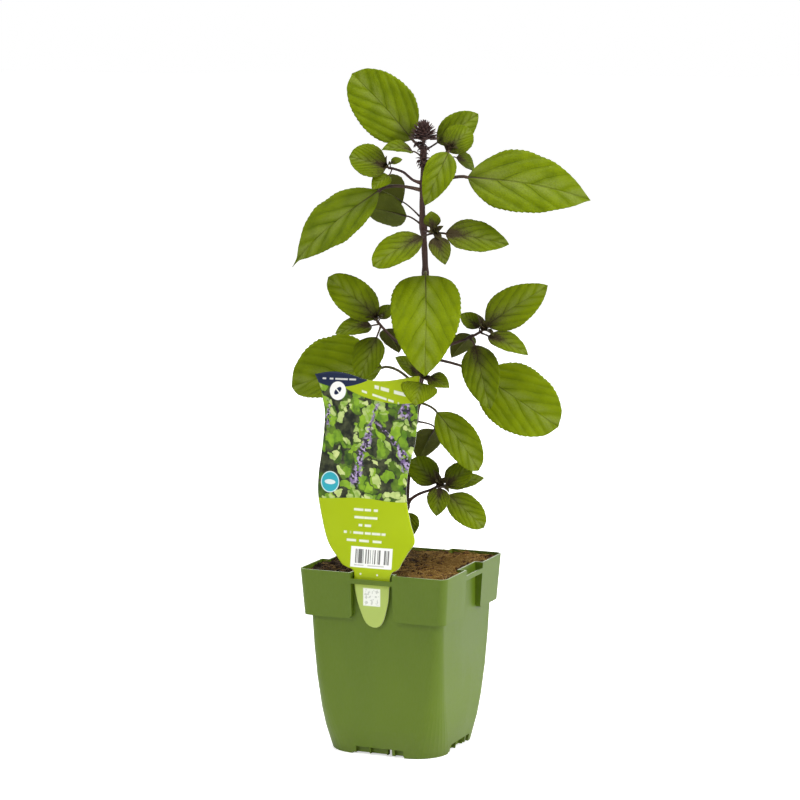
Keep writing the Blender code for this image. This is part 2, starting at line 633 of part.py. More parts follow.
def build_spike(parts, parent):
    """The flower spike: a turned form with one whorl below a cone of buds."""
    tip = STEMS["main_stem"].points[-1]

    def build(bm):
        verts = [bm.verts.new((radius, 0.0, height)) for radius, height in SPIKE_PROFILE]
        for start, end in zip(verts, verts[1:]):
            bm.edges.new((start, end))

    spike = mesh_object("flower_spike", build, parts)
    spike.location = (tip[0], tip[1], SPIKE_BASE)
    turn = spike.modifiers.new("turned", "SCREW")
    turn.steps = SPIKE_STEPS
    turn.render_steps = SPIKE_STEPS
    turn.use_merge_vertices = True
    turn.merge_threshold = 0.00005
    return make_part(spike, "spike_purple", parent)


# ---- leaves ------------------------------------------------------------------------------------------
def towards(compass, rise):
    """Unit vector for a compass direction and a rise."""
    flat = math.cos(math.radians(rise))
    return Vector((flat * math.cos(math.radians(compass)), flat * math.sin(math.radians(compass)),
                   math.sin(math.radians(rise))))


def stalk_radius_of(leaf):
    """A longer leaf has a thicker stalk."""
    return STALK_MIN_RADIUS + STALK_RADIUS_RATE * leaf.blade[0]


def leaf_root(leaf):
    """Where a leaf stalk starts, clear of its stem, and where its blade starts."""
    stalk_length, compass, rise = leaf.stalk
    middle, stem_direction, stem_radius = place_on_stem(leaf.stem, leaf.at)
    direction = towards(compass, rise)
    lengthwise = abs(direction.dot(stem_direction))
    crosswise = math.sqrt(1 - lengthwise ** 2)
    start = (stem_radius + GAP + stalk_radius_of(leaf) * lengthwise) / crosswise
    return middle + direction * start, middle + direction * max(stalk_length, start + 2 * GAP)


def leaf_rings(leaf):
    """Cross-sections of a leaf from the root of its stalk to its tip, measured from the root."""
    length, width, compass, rise = leaf.blade
    root, blade_start = leaf_root(leaf)
    base = blade_start - root
    along = towards(compass, rise)
    side = along.cross(towards(*leaf.faces)).normalized()
    upper = side.cross(along)
    stalk_radius = stalk_radius_of(leaf)
    bend = base - along * (base.length * STALK_BEND)

    path = [(1 - t) ** 2 * Vector() + 2 * t * (1 - t) * bend + t * t * base for t in STALK_STATIONS]
    headings = [(bend if t == 0.0 else (1 - t) * bend + t * (base - bend)).normalized()
                for t in STALK_STATIONS]
    frames = []
    ring_side, ring_along = side, along
    for heading in reversed(headings):
        ring_side = ring_along.rotation_difference(heading) @ ring_side
        ring_along = heading
        frames.insert(0, (ring_side, ring_side.cross(ring_along)))
    rings = []
    for centre, (across, above) in zip(path, frames):
        rings.append([centre + stalk_radius * (math.cos(math.radians(angle)) * across
                                               + math.sin(math.radians(angle)) * above)
                      for angle in SECTION_ANGLES])
    for part, share in BLADE_OUTLINE:
        centre = base + along * (length * part) + upper * (4 * leaf.arch * length * part * (1 - part))
        half = max(width / 2 * share, stalk_radius)
        thick = BLADE_THICKNESS / 2 if part > BLADE_NECK else stalk_radius
        rings.append([centre + side * (half * across) + upper * (leaf.fold * half * abs(across)
                                                                 + thick * above)
                      for across, above in BLADE_SECTION])
    return rings


def build_leaf(leaf, parts, parent):
    """A leaf with its stalk as one thin closed solid, with its origin where the stalk starts."""
    blade = mesh_object(f"leaf_{leaf.name}", lambda bm: loft(bm, leaf_rings(leaf)), parts,
                        smooth_angle=60)
    blade.location = leaf_root(leaf)[0]
    return make_part(blade, "leaf_green", parent)


def main():
    """Build the whole plant in its pot."""
    clear_scene()
    parts = new_collection("potted_basil")
    cutters = new_collection("cutters")
    parent = bpy.data.objects.new("potted_basil_origin", None)
    parts.objects.link(parent)
    build_pot(parts, cutters, parent)
    build_soil(parts, cutters, parent)
    build_label(parts, parent)
    for name in STEMS:
        build_stem(name, parts, parent)
    build_spike(parts, parent)
    for leaf in LEAVES:
        build_leaf(leaf, parts, parent)


main()
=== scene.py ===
# %% [markdown]
# # A potted basil, piece by piece
# This lesson gives a plain CAD model of a potted herb its real looks: a young perennial basil with a
# purple stem in a square nursery pot, with a printed label. The CAD part fixes every place and size.
# Here the leaves get veins and teeth, the flower spike its bracts, the compost its fibres, and each
# surface a node material. All lengths are metres, +Z is up, and the labelled side looks along -Y.

import math
from collections import namedtuple

import bpy
import numpy as np
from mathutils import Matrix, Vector, noise


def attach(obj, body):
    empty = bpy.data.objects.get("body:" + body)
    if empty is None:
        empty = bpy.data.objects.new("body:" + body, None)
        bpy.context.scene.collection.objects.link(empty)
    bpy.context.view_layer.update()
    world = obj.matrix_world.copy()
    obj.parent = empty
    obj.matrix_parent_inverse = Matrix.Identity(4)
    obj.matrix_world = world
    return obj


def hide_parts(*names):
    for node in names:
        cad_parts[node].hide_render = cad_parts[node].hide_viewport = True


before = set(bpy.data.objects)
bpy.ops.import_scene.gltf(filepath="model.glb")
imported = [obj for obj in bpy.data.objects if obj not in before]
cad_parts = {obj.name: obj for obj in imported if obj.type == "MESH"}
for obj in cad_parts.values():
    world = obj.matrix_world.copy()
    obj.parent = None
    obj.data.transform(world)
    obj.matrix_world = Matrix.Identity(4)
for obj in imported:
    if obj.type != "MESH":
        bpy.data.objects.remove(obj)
scene = bpy.context.scene
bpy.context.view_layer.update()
print("CAD nodes:", len(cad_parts))

# %% [markdown]
# ## Camera
# A long lens from about two metres keeps the pot's sides nearly parallel, as product pictures do. The
# camera stands a little above the rim and looks slightly down, so that a strip of compost shows.

# %% Camera
SENSOR, LENS = 36.0, 123.8        # millimetres
CAMERA_PLACE = (0.8694, -2.0676, 0.592)
CAMERA_TURN = (82.284, 0.0, 22.85)

camera_data = bpy.data.cameras.new("camera")
camera_data.sensor_width = SENSOR
camera_data.lens = LENS
camera = bpy.data.objects.new("camera", camera_data)
camera.location = CAMERA_PLACE
camera.rotation_euler = [math.radians(angle) for angle in CAMERA_TURN]
scene.collection.objects.link(camera)
scene.camera = camera
scene.view_settings.view_transform = "Standard"
print("lens, mm:", camera_data.lens)

# %% [markdown]
# ## Signals: arithmetic that draws nodes
# A vein, a printed line or a stain is a formula on the surface. Written with Math nodes one by one, a
# formula takes a page. The small class below lets us write `a * 2 + b`: each operation places one Math
# node and links it, so the node tree still does all the work.

# %% Signals
def feed(slot_in, item):
    """Link a signal to a node's input, or give the input a plain value."""
    if isinstance(item, Signal):
        item.tree.links.new(item.socket, slot_in)
    else:
        slot_in.default_value = item


class Signal:
    """A value that changes over the surface; arithmetic on it adds Math nodes to its tree."""

    def __init__(self, socket):
        self.socket = socket
        self.tree = socket.id_data

    def math(self, operation, *others):
        node = self.tree.nodes.new("ShaderNodeMath")
        node.operation = operation
        for slot_in, item in zip(node.inputs, (self, *others)):
            feed(slot_in, item)
        return Signal(node.outputs[0])

    def __add__(self, other):
        return self.math("ADD", other)

    def __sub__(self, other):
        return self.math("SUBTRACT", other)

    def __mul__(self, other):
        return self.math("MULTIPLY", other)

    def __truediv__(self, other):
        return self.math("DIVIDE", other)

    def __abs__(self):
        return self.math("ABSOLUTE")

    def flip(self):
        """One minus the signal."""
        return (self * -1.0) + 1.0

    def fraction(self):
        return self.math("FRACT")

    def most(self, other):
        return self.math("MAXIMUM", other)

    def least(self, other):
        return self.math("MINIMUM", other)

    def ramp(self, start, end, low=0.0, high=1.0):
        """Smooth step: low at start, high at end, level outside."""
        node = self.tree.nodes.new("ShaderNodeMapRange")
        node.interpolation_type = "SMOOTHSTEP"
        for name, value in (("Value", self), ("From Min", start), ("From Max", end), ("To Min", low),
                            ("To Max", high)):
            feed(node.inputs[name], value)
        return Signal(node.outputs["Result"])


# %% [markdown]
# The next helpers each place one node that isn't arithmetic: a texture, a colour mix, a vector put
# together or taken apart, and the places on the surface that formulas start from.

# %% Node helpers
def texture(kind, vector, output=0, **settings):
    """Place a texture node; a setting is one of its inputs, or a property when it is a word."""
    tree = vector.id_data
    node = tree.nodes.new(f"ShaderNodeTex{kind}")
    for name, value in settings.items():
        if isinstance(value, str):
            setattr(node, name, value)
        else:
            feed(node.inputs[name.title()], value)
    tree.links.new(vector, node.inputs["Vector"])
    return Signal(node.outputs[output])


def mixed(amount, first, second):
    """Mix two colours by a signal; each colour is a plain triple or a socket."""
    node = amount.tree.nodes.new("ShaderNodeMix")
    node.data_type = "RGBA"
    feed(node.inputs[0], amount)
    for slot_in, colour in ((node.inputs[6], first), (node.inputs[7], second)):
        if isinstance(colour, tuple):
            slot_in.default_value = (*colour, 1.0)
        else:
            amount.tree.links.new(colour, slot_in)
    return node.outputs[2]


def combined(x, y, z=0.0):
    """Put signals together to a vector for a texture."""
    node = x.tree.nodes.new("ShaderNodeCombineXYZ")
    for slot_in, item in zip(node.inputs, (x, y, z)):
        feed(slot_in, item)
    return node.outputs[0]


def split(vector):
    """Take a vector apart into signals."""
    node = vector.id_data.nodes.new("ShaderNodeSeparateXYZ")
    vector.id_data.links.new(vector, node.inputs[0])
    return [Signal(socket) for socket in node.outputs]


def uv_of(tree):
    """The two signals of the UV map."""
    node = tree.nodes.new("ShaderNodeUVMap")
    node.uv_map = "surface"
    return split(node.outputs[0])[:2]


def look_of(tree):
    """The three signals of the painted attribute: purple, tone and edge."""
    node = tree.nodes.new("ShaderNodeAttribute")
    node.attribute_name = "look"
    return split(node.outputs["Vector"])


def place(tree):
    """Position on the object, as a socket and as three signals."""
    node = tree.nodes.new("ShaderNodeTexCoord")
    return node.outputs["Object"], split(node.outputs["Object"])


# %% [markdown]
# A material is a Principled shader with plain values, which gets its colour, its bump and sometimes its
# roughness from signals. Effects that several materials share are node groups.

# %% Materials and groups
def new_material(name, **constants):
    """An empty Principled material; constants are the shader's own plain values."""
    material = bpy.data.materials.new(name)
    material.use_nodes = True
    shader = material.node_tree.nodes["Principled BSDF"]
    for key, value in constants.items():
        shader.inputs[key.replace("_", " ").title().replace("Ior", "IOR")].default_value = value
    return material, material.node_tree


def dressed(material, colour, relief, strength, distance, roughness=None):
    """The material with its colour, its bump and, where it varies, its roughness."""
    tree = material.node_tree
    shader = tree.nodes["Principled BSDF"]
    tree.links.new(colour, shader.inputs["Base Color"])
    if roughness is not None:
        feed(shader.inputs["Roughness"], roughness)
    bump = tree.nodes.new("ShaderNodeBump")
    for name, value in (("Strength", strength), ("Distance", distance), ("Height", relief)):
        feed(bump.inputs[name], value)
    tree.links.new(bump.outputs["Normal"], shader.inputs["Normal"])
    return material


def new_group(name, inputs, outputs):
    """A shader node group with named inputs, each with its usual value, and named outputs."""
    tree = bpy.data.node_groups.new(name, "ShaderNodeTree")
    for label, value in inputs.items():
        socket = tree.interface.new_socket(label, in_out="INPUT", socket_type="NodeSocketFloat")
        socket.default_value = value
    for label in outputs:
        tree.interface.new_socket(label, in_out="OUTPUT", socket_type="NodeSocketFloat")
    entry = tree.nodes.new("NodeGroupInput")
    leave = tree.nodes.new("NodeGroupOutput")
    return tree, {label: Signal(entry.outputs[label]) for label in inputs}, leave


def place_group(tree, group, **values):
    """Put a group in a material with its own values; returns its outputs as signals."""
    node = tree.nodes.new("ShaderNodeGroup")
    node.node_tree = group
    for name, value in values.items():
        node.inputs[name.replace("_", " ")].default_value = value
    return {socket.name: Signal(socket) for socket in node.outputs}


print("node helpers ready")

# %% [markdown]
# ## Meshes from arrays
# Leaves, stems, bracts and fibres are all computed as rows of points. A patch holds such rows with what
# the materials need: two UV numbers, and a painted look (purple, tone, edge) for each point. Many
# patches go into one piece, so a cone of eighty bracts is still one object.

# %% Patches and pieces
Patch = namedtuple("Patch", "points faces uv look material")


def grid_faces(rows, columns, wrap=False):
    """Quads between the points of a grid that is stored row by row."""
    row, column = np.meshgrid(np.arange(rows - 1), np.arange(columns if wrap else columns - 1),
                              indexing="ij")
    beside = (column + 1) % columns
    quads = np.stack([row * columns + column, row * columns + beside,
                      (row + 1) * columns + beside, (row + 1) * columns + column], axis=-1)
    return quads.reshape(-1, 4)


def make_piece(name, patches, materials, replaced=()):
    """Join patches into one mesh object that rides on the root body."""
    points, faces, uvs, looks, indices = [], [], [], [], []
    count = 0
    for patch in patches:
        points.append(patch.points)
        faces.extend((patch.faces + count).tolist() if isinstance(patch.faces, np.ndarray)
                     else [[corner + count for corner in face] for face in patch.faces])
        uvs.append(patch.uv)
        looks.append(patch.look)
        indices.extend([patch.material] * len(patch.faces) if isinstance(patch.material, int)
                       else patch.material)
        count += len(patch.points)
    mesh = bpy.data.meshes.new(name)
    mesh.from_pydata(np.concatenate(points).tolist(), [], faces)
    corners = np.zeros(len(mesh.loops), dtype=np.int32)
    mesh.loops.foreach_get("vertex_index", corners)
    uv_layer = mesh.uv_layers.new(name="surface")
    uv_layer.data.foreach_set("uv", np.concatenate(uvs)[corners].astype(np.float32).ravel())
    look = mesh.attributes.new("look", "FLOAT_VECTOR", "POINT")
    look.data.foreach_set("vector", np.concatenate(looks).astype(np.float32).ravel())
    for material in materials:
        mesh.materials.append(material)
    mesh.polygons.foreach_set("material_index", np.array(indices, dtype=np.int32))
    mesh.shade_smooth()
    mesh.update()
    piece = bpy.data.objects.new(name, mesh)
    scene.collection.objects.link(piece)
    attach(piece, "root")
    if replaced:
        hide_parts(*replaced)
    return piece


# %% [markdown]
# Stems, stalks and fibres are tubes along smooth curves. A closed sheet has a front, a back and a rim:
# leaf blades and the label are both made so.

# %% Curves, tubes and sheets
def unit(vectors):
    """Scale vectors to length one, one or many."""
    return vectors / np.maximum(np.linalg.norm(vectors, axis=-1, keepdims=True), 1e-12)


def catmull_rom(before, start, end, after, t):
    """The point at t, from 0 to 1, of the smooth curve between start and end."""
    return 0.5 * (2 * start + (end - before) * t + (2 * before - 5 * start + 4 * end - after) * t ** 2
                  + (3 * start - before - 3 * end + after) * t ** 3)


def raised(outward, upward, rise):
    """The way along, and the way above, something that rises by an angle in degrees."""
    cosine, sine = math.cos(math.radians(rise)), math.sin(math.radians(rise))
    return outward * cosine + upward * sine, upward * cosine - outward * sine


def smooth_curve(points, samples):
    """Read a Catmull-Rom curve through the points at even shares of its length."""
    points = np.asarray(points, dtype=float)
    padded = np.vstack([2 * points[0] - points[1], points, 2 * points[-1] - points[-2]])
    dense = []
    steps = np.linspace(0, 1, 16, endpoint=False)[:, None]
    for four in zip(padded, padded[1:], padded[2:], padded[3:]):
        dense.append(catmull_rom(*four, steps))
    dense = np.vstack([*dense, points[-1]])
    reach = np.concatenate([[0], np.cumsum(np.linalg.norm(np.diff(dense, axis=0), axis=1))])
    wanted = np.linspace(0, reach[-1], samples)
    return np.stack([np.interp(wanted, reach, dense[:, axis]) for axis in range(dense.shape[1])], 1)


def ringed_faces(rings, sides):
    """Faces of rings of points, closed by one point at each end; those two come last."""
    faces = grid_faces(rings, sides, wrap=True).tolist()
    end = (rings - 1) * sides
    for corner in range(sides):
        after = (corner + 1) % sides
        faces.append([after, corner, end + sides])
        faces.append([end + corner, end + after, end + sides + 1])
    return faces


def closed_sheet(points, lower, uv, look, rim_material):
    """A patch from two grids of points that face each other: front, back and the rim between them."""
    rows, columns = points.shape[:2]
    count = rows * columns
    border = [*range(columns), *range(2 * columns - 1, count, columns),
              *range(count - 2, count - columns - 1, -1), *range(count - 2 * columns, 0, -columns)]
    rim = [[after, here, here + count, after + count]
           for here, after in zip(border, border[1:] + border[:1])]
    front = grid_faces(rows, columns)
    faces = np.concatenate([front, (front + count)[:, ::-1], np.array(rim)])
    material = [0] * len(front) + [1] * len(front) + [rim_material] * len(rim)
    return Patch(np.concatenate([points.reshape(-1, 3), lower.reshape(-1, 3)]), faces,
                 np.concatenate([uv, uv]), np.concatenate([look, look]), material)


def tube(path, radii, sides, purple, tone, squareness=0.0, material=0):
    """A closed tube along a path, round or four-angled, with round ends left to the radii."""
    path = np.asarray(path, dtype=float)
    headings = unit(np.gradient(path, axis=0))
    side = np.cross(headings[0], (0.0, 0.0, 1.0))
    if np.linalg.norm(side) < 0.1:
        side = np.cross(headings[0], (1.0, 0.0, 0.0))
    side = unit(side)
    rings = []
    angles = np.linspace(0, 2 * math.pi, sides, endpoint=False)
    shape = 1 + squareness * np.cos(4 * angles)
    for centre, heading, radius in zip(path, headings, radii):
        side = unit(side - heading * side.dot(heading))
        above = np.cross(side, heading)
        rings.append(centre + radius * shape[:, None] * (np.cos(angles)[:, None] * side
                                                         + np.sin(angles)[:, None] * above))
    points = np.concatenate([*rings, path[:1], path[-1:]])
    count = len(path)
    reach = np.concatenate([[0], np.cumsum(np.linalg.norm(np.diff(path, axis=0), axis=1))])
    around = np.tile(angles / (2 * math.pi), count)
    uv = np.stack([np.append(around, (0, 0)), np.append(np.repeat(reach, sides), (0, reach[-1]))], 1)
    purple = np.broadcast_to(np.asarray(purple, dtype=float), (count,))
    purple = np.append(np.repeat(purple, sides), (purple[0], purple[-1]))
    look = np.stack([purple, np.full(len(points), tone), np.zeros(len(points))], 1)
    return Patch(points, ringed_faces(count, sides), uv, look, material)


print("mesh helpers ready")

# %% [markdown]
# ## Where the stems run
# The stems are smooth curves through a few points, the same as in the CAD part. Every leaf stalk starts
# on one of them, so the curves come first. A basil stem is four-angled, and it swells a little where a
# pair of leaves or shoots leaves it.

# %% Stem curves
GAP = 0.0003
Stem = namedtuple("Stem", "points root_radius tip_radius")
STEMS = {
    "main_stem": Stem((
        (-.0016, -.0007, .118), (-.0016, -.0007, .158), (.0015, .0028, .204), (.0041, .005, .246),
        (.0106, .0077, .287), (.0136, .0079, .321), (.0158, .0077, .354), (.0175, .0074, .391),
        (.0166, .006, .424), (.0155, .0055, .445), (.0161, .0057, .466), (.0168, .0049, .4965)
       ), .0034, .0021),
    "shoot_upper_left": Stem((
        (.0161, .0057, .466), (.0097, -.0002, .469), (.003, -.0052, .4756), (-.0041, -.0093, .4785),
        (-.0078, -.0109, .479)), .0011, .0009),
    "shoot_upper_right": Stem((
        (.0161, .0057, .466), (.0236, .0067, .4706), (.0307, .0086, .4804), (.0355, .0095, .4893),
        (.037, .0102, .4934)), .0011, .0009),
    "shoot_front": Stem((
        (.0163, .0058, .428), (.0221, -.0004, .4279), (.0278, -.0057, .4276), (.0323, -.0103, .4273)
       ), .0011, .0009),
    "shoot_left": Stem((
        (.0138, .0079, .325), (.0041, .0028, .3302), (-.0046, -.0041, .338), (-.0128, -.0097, .3481),
        (-.017, -.0126, .354)), .0012, .0009),
    "shoot_right": Stem((
        (.0138, .0079, .325), (.0249, .0127, .3293), (.04, .0169, .3353), (.0528, .0179, .3403),
        (.0633, .018, .3461)), .0012, .0009),
    "shoot_centre": Stem((
        (.0109, .0079, .2894), (.0174, -.0057, .2955), (.0243, -.018, .3039), (.0307, -.0283, .3112)
       ), .0012, .0009),
    "shoot_low_right": Stem((
        (.0011, .0026, .1984), (.0076, .001, .2058), (.0163, -.0007, .2113), (.0254, -.0012, .2149),
        (.0326, -.0014, .2187)), .0013, .0009),
}
STEM_SAMPLE = 0.006
MAIN_STEM_SAMPLE = 0.016


def stem_points(points, spacing):
    """Points along a Catmull-Rom curve through the given ones, about a spacing apart."""
    points = [Vector(point) for point in points]
    points = [2 * points[0] - points[1], *points, 2 * points[-1] - points[-2]]
    path = []
    for four in zip(points, points[1:], points[2:], points[3:]):
        steps = max(1, round((four[2] - four[1]).length / spacing))
        path.extend(catmull_rom(*four, step / steps) for step in range(steps))
    path.append(points[-2])
    return path


def main_radius_at(height):
    """Radius of the main stem at a height."""
    stem = STEMS["main_stem"]
    low, high = stem.points[0][2], stem.points[-1][2]
    share = (height - low) / (high - low)
    return stem.root_radius + share * (stem.tip_radius - stem.root_radius)


def stem_path(name):
    """The points of a stem; a side shoot starts just outside the main stem."""
    stem = STEMS[name]
    if name == "main_stem":
        return stem_points(stem.points, MAIN_STEM_SAMPLE)
    path = stem_points(stem.points, STEM_SAMPLE)
    clear = main_radius_at(path[0].z) + stem.root_radius + GAP
    start = path[0]
    while (path[0] - start).xy.length < clear:
        path.pop(0)
    first_step = path[0] - start
    return [start + first_step * (clear / first_step.xy.length), *path]


def place_on_stem(name, at):
    """Middle, direction and radius of a stem, at a height on the main stem or a share of a shoot."""
    stem = STEMS[name]
    path = stem_path(name)
    if name == "main_stem":
        for lower, upper in zip(path, path[1:]):
            if upper.z >= at:
                share = (at - lower.z) / (upper.z - lower.z)
                return lower.lerp(upper, share), (upper - lower).normalized(), main_radius_at(at)
    length = sum((b - a).length for a, b in zip(path, path[1:]))
    along = at * length
    for start, end in zip(path, path[1:]):
        step = (end - start).length
        if along <= step:
            return start.lerp(end, along / step), (end - start).normalized(), stem.tip_radius
        along -= step
    return path[-1], (path[-1] - path[-2]).normalized(), stem.tip_radius


for name in STEMS:
    print(name, "tip height, mm:", round(1000 * stem_path(name)[-1].z))

# %% [markdown]
# ## The leaf table
# Forty-odd leaves, each with its own size, place and tilt, taken over from the CAD part. Directions are
# a compass angle anticlockwise from +X and a rise above level. `faces` says where the upper side looks,
# `arch` how far the midrib rises and `fold` how far the two halves fold up.

# %% Leaf table
Leaf = namedtuple("Leaf", "name stem at stalk blade faces arch fold")
LEAF_ROWS = (                     # stalk: length, compass, rise; blade: length, width, compass, rise
    ("top_left", "main_stem", .492, (.017, 152, 33), (.073, .05, 212, 48), (288, 25), .03, .08),
    ("top_right", "main_stem", .492, (.016, 62, 25), (.043, .026, 44, 32), (303, 10), .08, .35),
    ("crown_front", "main_stem", .487, (.012, 238, 27), (.03, .015, 237, 4), (275, 38), .1, .25),
    ("crown_back", "shoot_upper_right", .8, (.004, 306, 79), (.027, .025, 40, 41), (308, 32), .1, .10),
    ("crown_hanging", "shoot_upper_right", .9, (.011, 295, 7), (.048, .025, 239, -60), (298, 15),
     .12, .4),
    ("crown_bud_leaf", "shoot_upper_right", .72, (.01, 38, 10), (.02, .017, 51, -31), (323, 40), .1, .20),
    ("high_right", "main_stem", .461, (.04, 3, 16), (.101, .056, 18, -10), (288, 30), .07, .06),
    ("high_left", "main_stem", .461, (.037, 214, -1), (.093, .047, 209, -39), (268, 35), .05, .08),
    ("side_left_round", "shoot_upper_left", .9, (.005, 239, 14), (.032, .031, 214, 15), (283, 35),
     .06, .1),
    ("side_left_small", "shoot_upper_left", .88, (.008, 265, -41), (.02, .015, 240, -33), (293, 35),
     .12, .15),
    ("side_left_bud", "shoot_upper_left", .94, (.004, 87, 67), (.01, .008, 35, 19), (303, 50), .1, .20),
    ("backlit_left", "main_stem", .437, (.023, 174, 36), (.031, .034, 169, 23), (123, 12), .05, .08),
    ("shade_left", "main_stem", .432, (.016, 182, 27), (.038, .031, 181, 8), (123, 28), .06, .08),
    ("front_left", "shoot_front", .96, (.01, 221, -18), (.047, .029, 214, -29), (283, 38), .05, .10),
    ("front_right", "shoot_front", .96, (.01, 7, -2), (.052, .032, 18, -9), (298, 40), .04, .10),
    ("front_up", "shoot_front", .95, (.004, 135, 74), (.014, .014, 135, 72), (293, 10), .08, .15),
    ("front_down", "shoot_front", .99, (.007, 300, -24), (.025, .018, 331, -59), (303, 25), .1, .15),
    ("middle_hanging", "main_stem", .393, (.016, 293, -2), (.087, .057, 293, -63), (291, 22), .08, .06),
    ("middle_back", "main_stem", .393, (.018, 110, -24), (.071, .052, 107, -59), (115, 35), .08, .07),
    ("left_upper", "shoot_left", .93, (.005, 251, 69), (.053, .031, 209, 40), (283, 30), .05, .10),
    ("left_lower", "shoot_left", .92, (.009, 246, -4), (.032, .02, 224, -9), (288, 45), .08, .18),
    ("left_small", "shoot_left", .97, (.004, 84, 37), (.016, .012, 65, 42), (303, 30), .08, .20),
    ("left_dark", "shoot_left", .8, (.008, 110, -9), (.026, .02, 62, -52), (103, 40), .08, .15),
    ("left_big", "main_stem", .298, (.04, 168, 21), (.077, .062, 201, -12), (283, 42), .05, .40),
    ("left_hanging", "shoot_left", .88, (.012, 268, -46), (.039, .027, 240, -65), (278, 25), .1, .20),
    ("centre_left", "shoot_centre", .93, (.006, 171, 46), (.024, .017, 218, 36), (293, 45), .05, .12),
    ("centre_right", "shoot_centre", .93, (.005, 3, 17), (.02, .016, 354, -20), (298, 40), .08, .25),
    ("centre_front", "shoot_centre", .97, (.007, 283, -23), (.024, .03, 273, -41), (288, 25), .1, .15),
    ("right_upper", "shoot_right", .95, (.008, 13, 46), (.06, .034, 27, 33), (293, 25), .04, .10),
    ("right_inner", "shoot_right", .95, (.004, 121, 61), (.02, .016, 175, 32), (298, 35), .06, .20),
    ("right_lower", "shoot_right", .95, (.01, 338, -12), (.037, .02, 2, -23), (298, 45), .08, .20),
    ("right_hanging", "shoot_right", .76, (.009, 324, -38), (.054, .031, 340, -71), (288, 15), .08, .15),
    ("right_dark", "shoot_right", .62, (.012, 64, 17), (.03, .019, 163, -42), (103, 40), .08, .15),
    ("right_big", "main_stem", .324, (.051, 30, -18), (.078, .058, 12, -33), (293, 28), .04, .06),
    ("low_right_hanging", "main_stem", .287, (.02, 353, -24), (.059, .031, 6, -53), (308, 22), .08, .15),
    ("low_dark", "main_stem", .271, (.022, 56, -25), (.038, .024, 142, -49), (118, 30), .08, .10),
    ("low_round", "shoot_low_right", .97, (.004, 123, 33), (.029, .024, 182, 40), (293, 20), .05, .08),
    ("low_up", "shoot_low_right", .95, (.008, 18, 10), (.026, .021, 39, 34), (293, 35), .06, .15),
    ("low_far", "shoot_low_right", .94, (.014, 75, -7), (.033, .017, 37, 11), (303, 50), .06, .15),
    ("low_down", "shoot_low_right", .98, (.007, 312, -3), (.024, .019, 274, -63), (288, 30), .08, .20),
    ("low_tip", "shoot_low_right", .93, (.012, 17, -32), (.04, .026, 4, -40), (298, 35), .05, .12),
    ("low_hidden", "main_stem", .2, (.013, 106, -38), (.025, .018, 90, -64), (303, 30), .08, .15),
)
LEAVES = [Leaf(*row) for row in LEAF_ROWS]


def towards(compass, rise):
    """Unit vector for a compass direction and a rise."""
    flat = math.cos(math.radians(rise))
    return Vector((flat * math.cos(math.radians(compass)), flat * math.sin(math.radians(compass)),
                   math.sin(math.radians(rise))))


def stalk_radius_of(leaf):
    """A longer leaf has a thicker stalk."""
    return 0.0003 + 0.011 * leaf.blade[0]


def leaf_root(leaf):
    """Where a leaf stalk starts, clear of its stem, and where its blade starts."""
    stalk_length, compass, rise = leaf.stalk
    middle, stem_direction, stem_radius = place_on_stem(leaf.stem, leaf.at)
    direction = towards(compass, rise)
    lengthwise = abs(direction.dot(stem_direction))
    crosswise = math.sqrt(1 - lengthwise ** 2)
    start = (stem_radius + GAP + stalk_radius_of(leaf) * lengthwise) / crosswise
    return middle + direction * start, middle + direction * max(stalk_length, start + 2 * GAP)


print("leaves:", len(LEAVES))

# %% [markdown]
# ## The pattern of a basil leaf
# Four or five pairs of veins leave the midrib and bend towards the tip. The skin sinks at the veins and
# swells between them. The same formula is used twice: on the mesh, where it moves the surface, and in
# the node group below, where it draws the fine lines that a mesh can't hold. A vein is where `phase` is
# a whole number, and phase counts the veins along the midrib, less the forward lean of the vein.

# %% Vein group
VEIN_COUNT = 4.3
VEIN_LEAN = 1.45
VEIN_CURVE = 2.4
VEIN_FIRST = 0.045
VEIN_STAGGER = 0.25

leaf_pattern, given, result = new_group(
    "leaf_pattern", {"Vein Width": 0.10, "Net Scale": 40.0, "Midrib Width": 0.011},
    ("Veins", "Midrib", "Net", "Pillow", "Near Midrib", "Along"))
across, along = uv_of(leaf_pattern)
offset = across - 0.5
away = abs(offset)
wander = texture("Noise", combined(across, along), scale=9.0, detail=2.0)
lean = away * VEIN_LEAN + away * away * VEIN_CURVE
stagger = offset.math("GREATER_THAN", 0.0) * VEIN_STAGGER
phase = (along - lean - VEIN_FIRST + (wander - 0.5) * 0.05) * VEIN_COUNT + stagger
from_vein = abs(phase.fraction() - 0.5) * 2.0
width = given["Vein Width"] * away.ramp(0.0, 0.30, 1.0, 0.35)
inside = along.ramp(0.0, 0.04) * along.ramp(0.70, 0.97, 1.0, 0.0) * away.ramp(0.14, 0.30, 1.0, 0.30)
patchy = texture("Noise", combined(across, along, 2.0), scale=5.0, detail=1.0)
veins = from_vein.ramp(width.flip(), 1.0) * inside * patchy.ramp(0.35, 0.6, 0.3, 1.0)
core = given["Midrib Width"] * along.ramp(0.0, 1.0, 1.0, 0.3) * 0.3
midrib = away.ramp(core, given["Midrib Width"], 1.0, 0.0)
net = texture("Voronoi", combined(across + (wander - 0.5) * 0.03, along),
              feature="DISTANCE_TO_EDGE", scale=given["Net Scale"])
for label, signal in (
        ("Veins", veins), ("Midrib", midrib), ("Net", net.ramp(0.0, 0.10, 1.0, 0.0)),
        ("Pillow", from_vein.ramp(0.25, 1.0, 1.0, 0.0)), ("Near Midrib", away.ramp(0.01, 0.15, 1.0, 0.0)),
        ("Along", along * 1.0)):
    leaf_pattern.links.new(signal.socket, result.inputs[label])
print("leaf_pattern nodes:", len(leaf_pattern.nodes))

# %% [markdown]
# ## Mottle: soft uneven colour
# Nothing that grows or is moulded has one even colour. This group gives a slow and a fast noise on the
# object's own coordinates, for stems, compost, plastic and leaves alike.

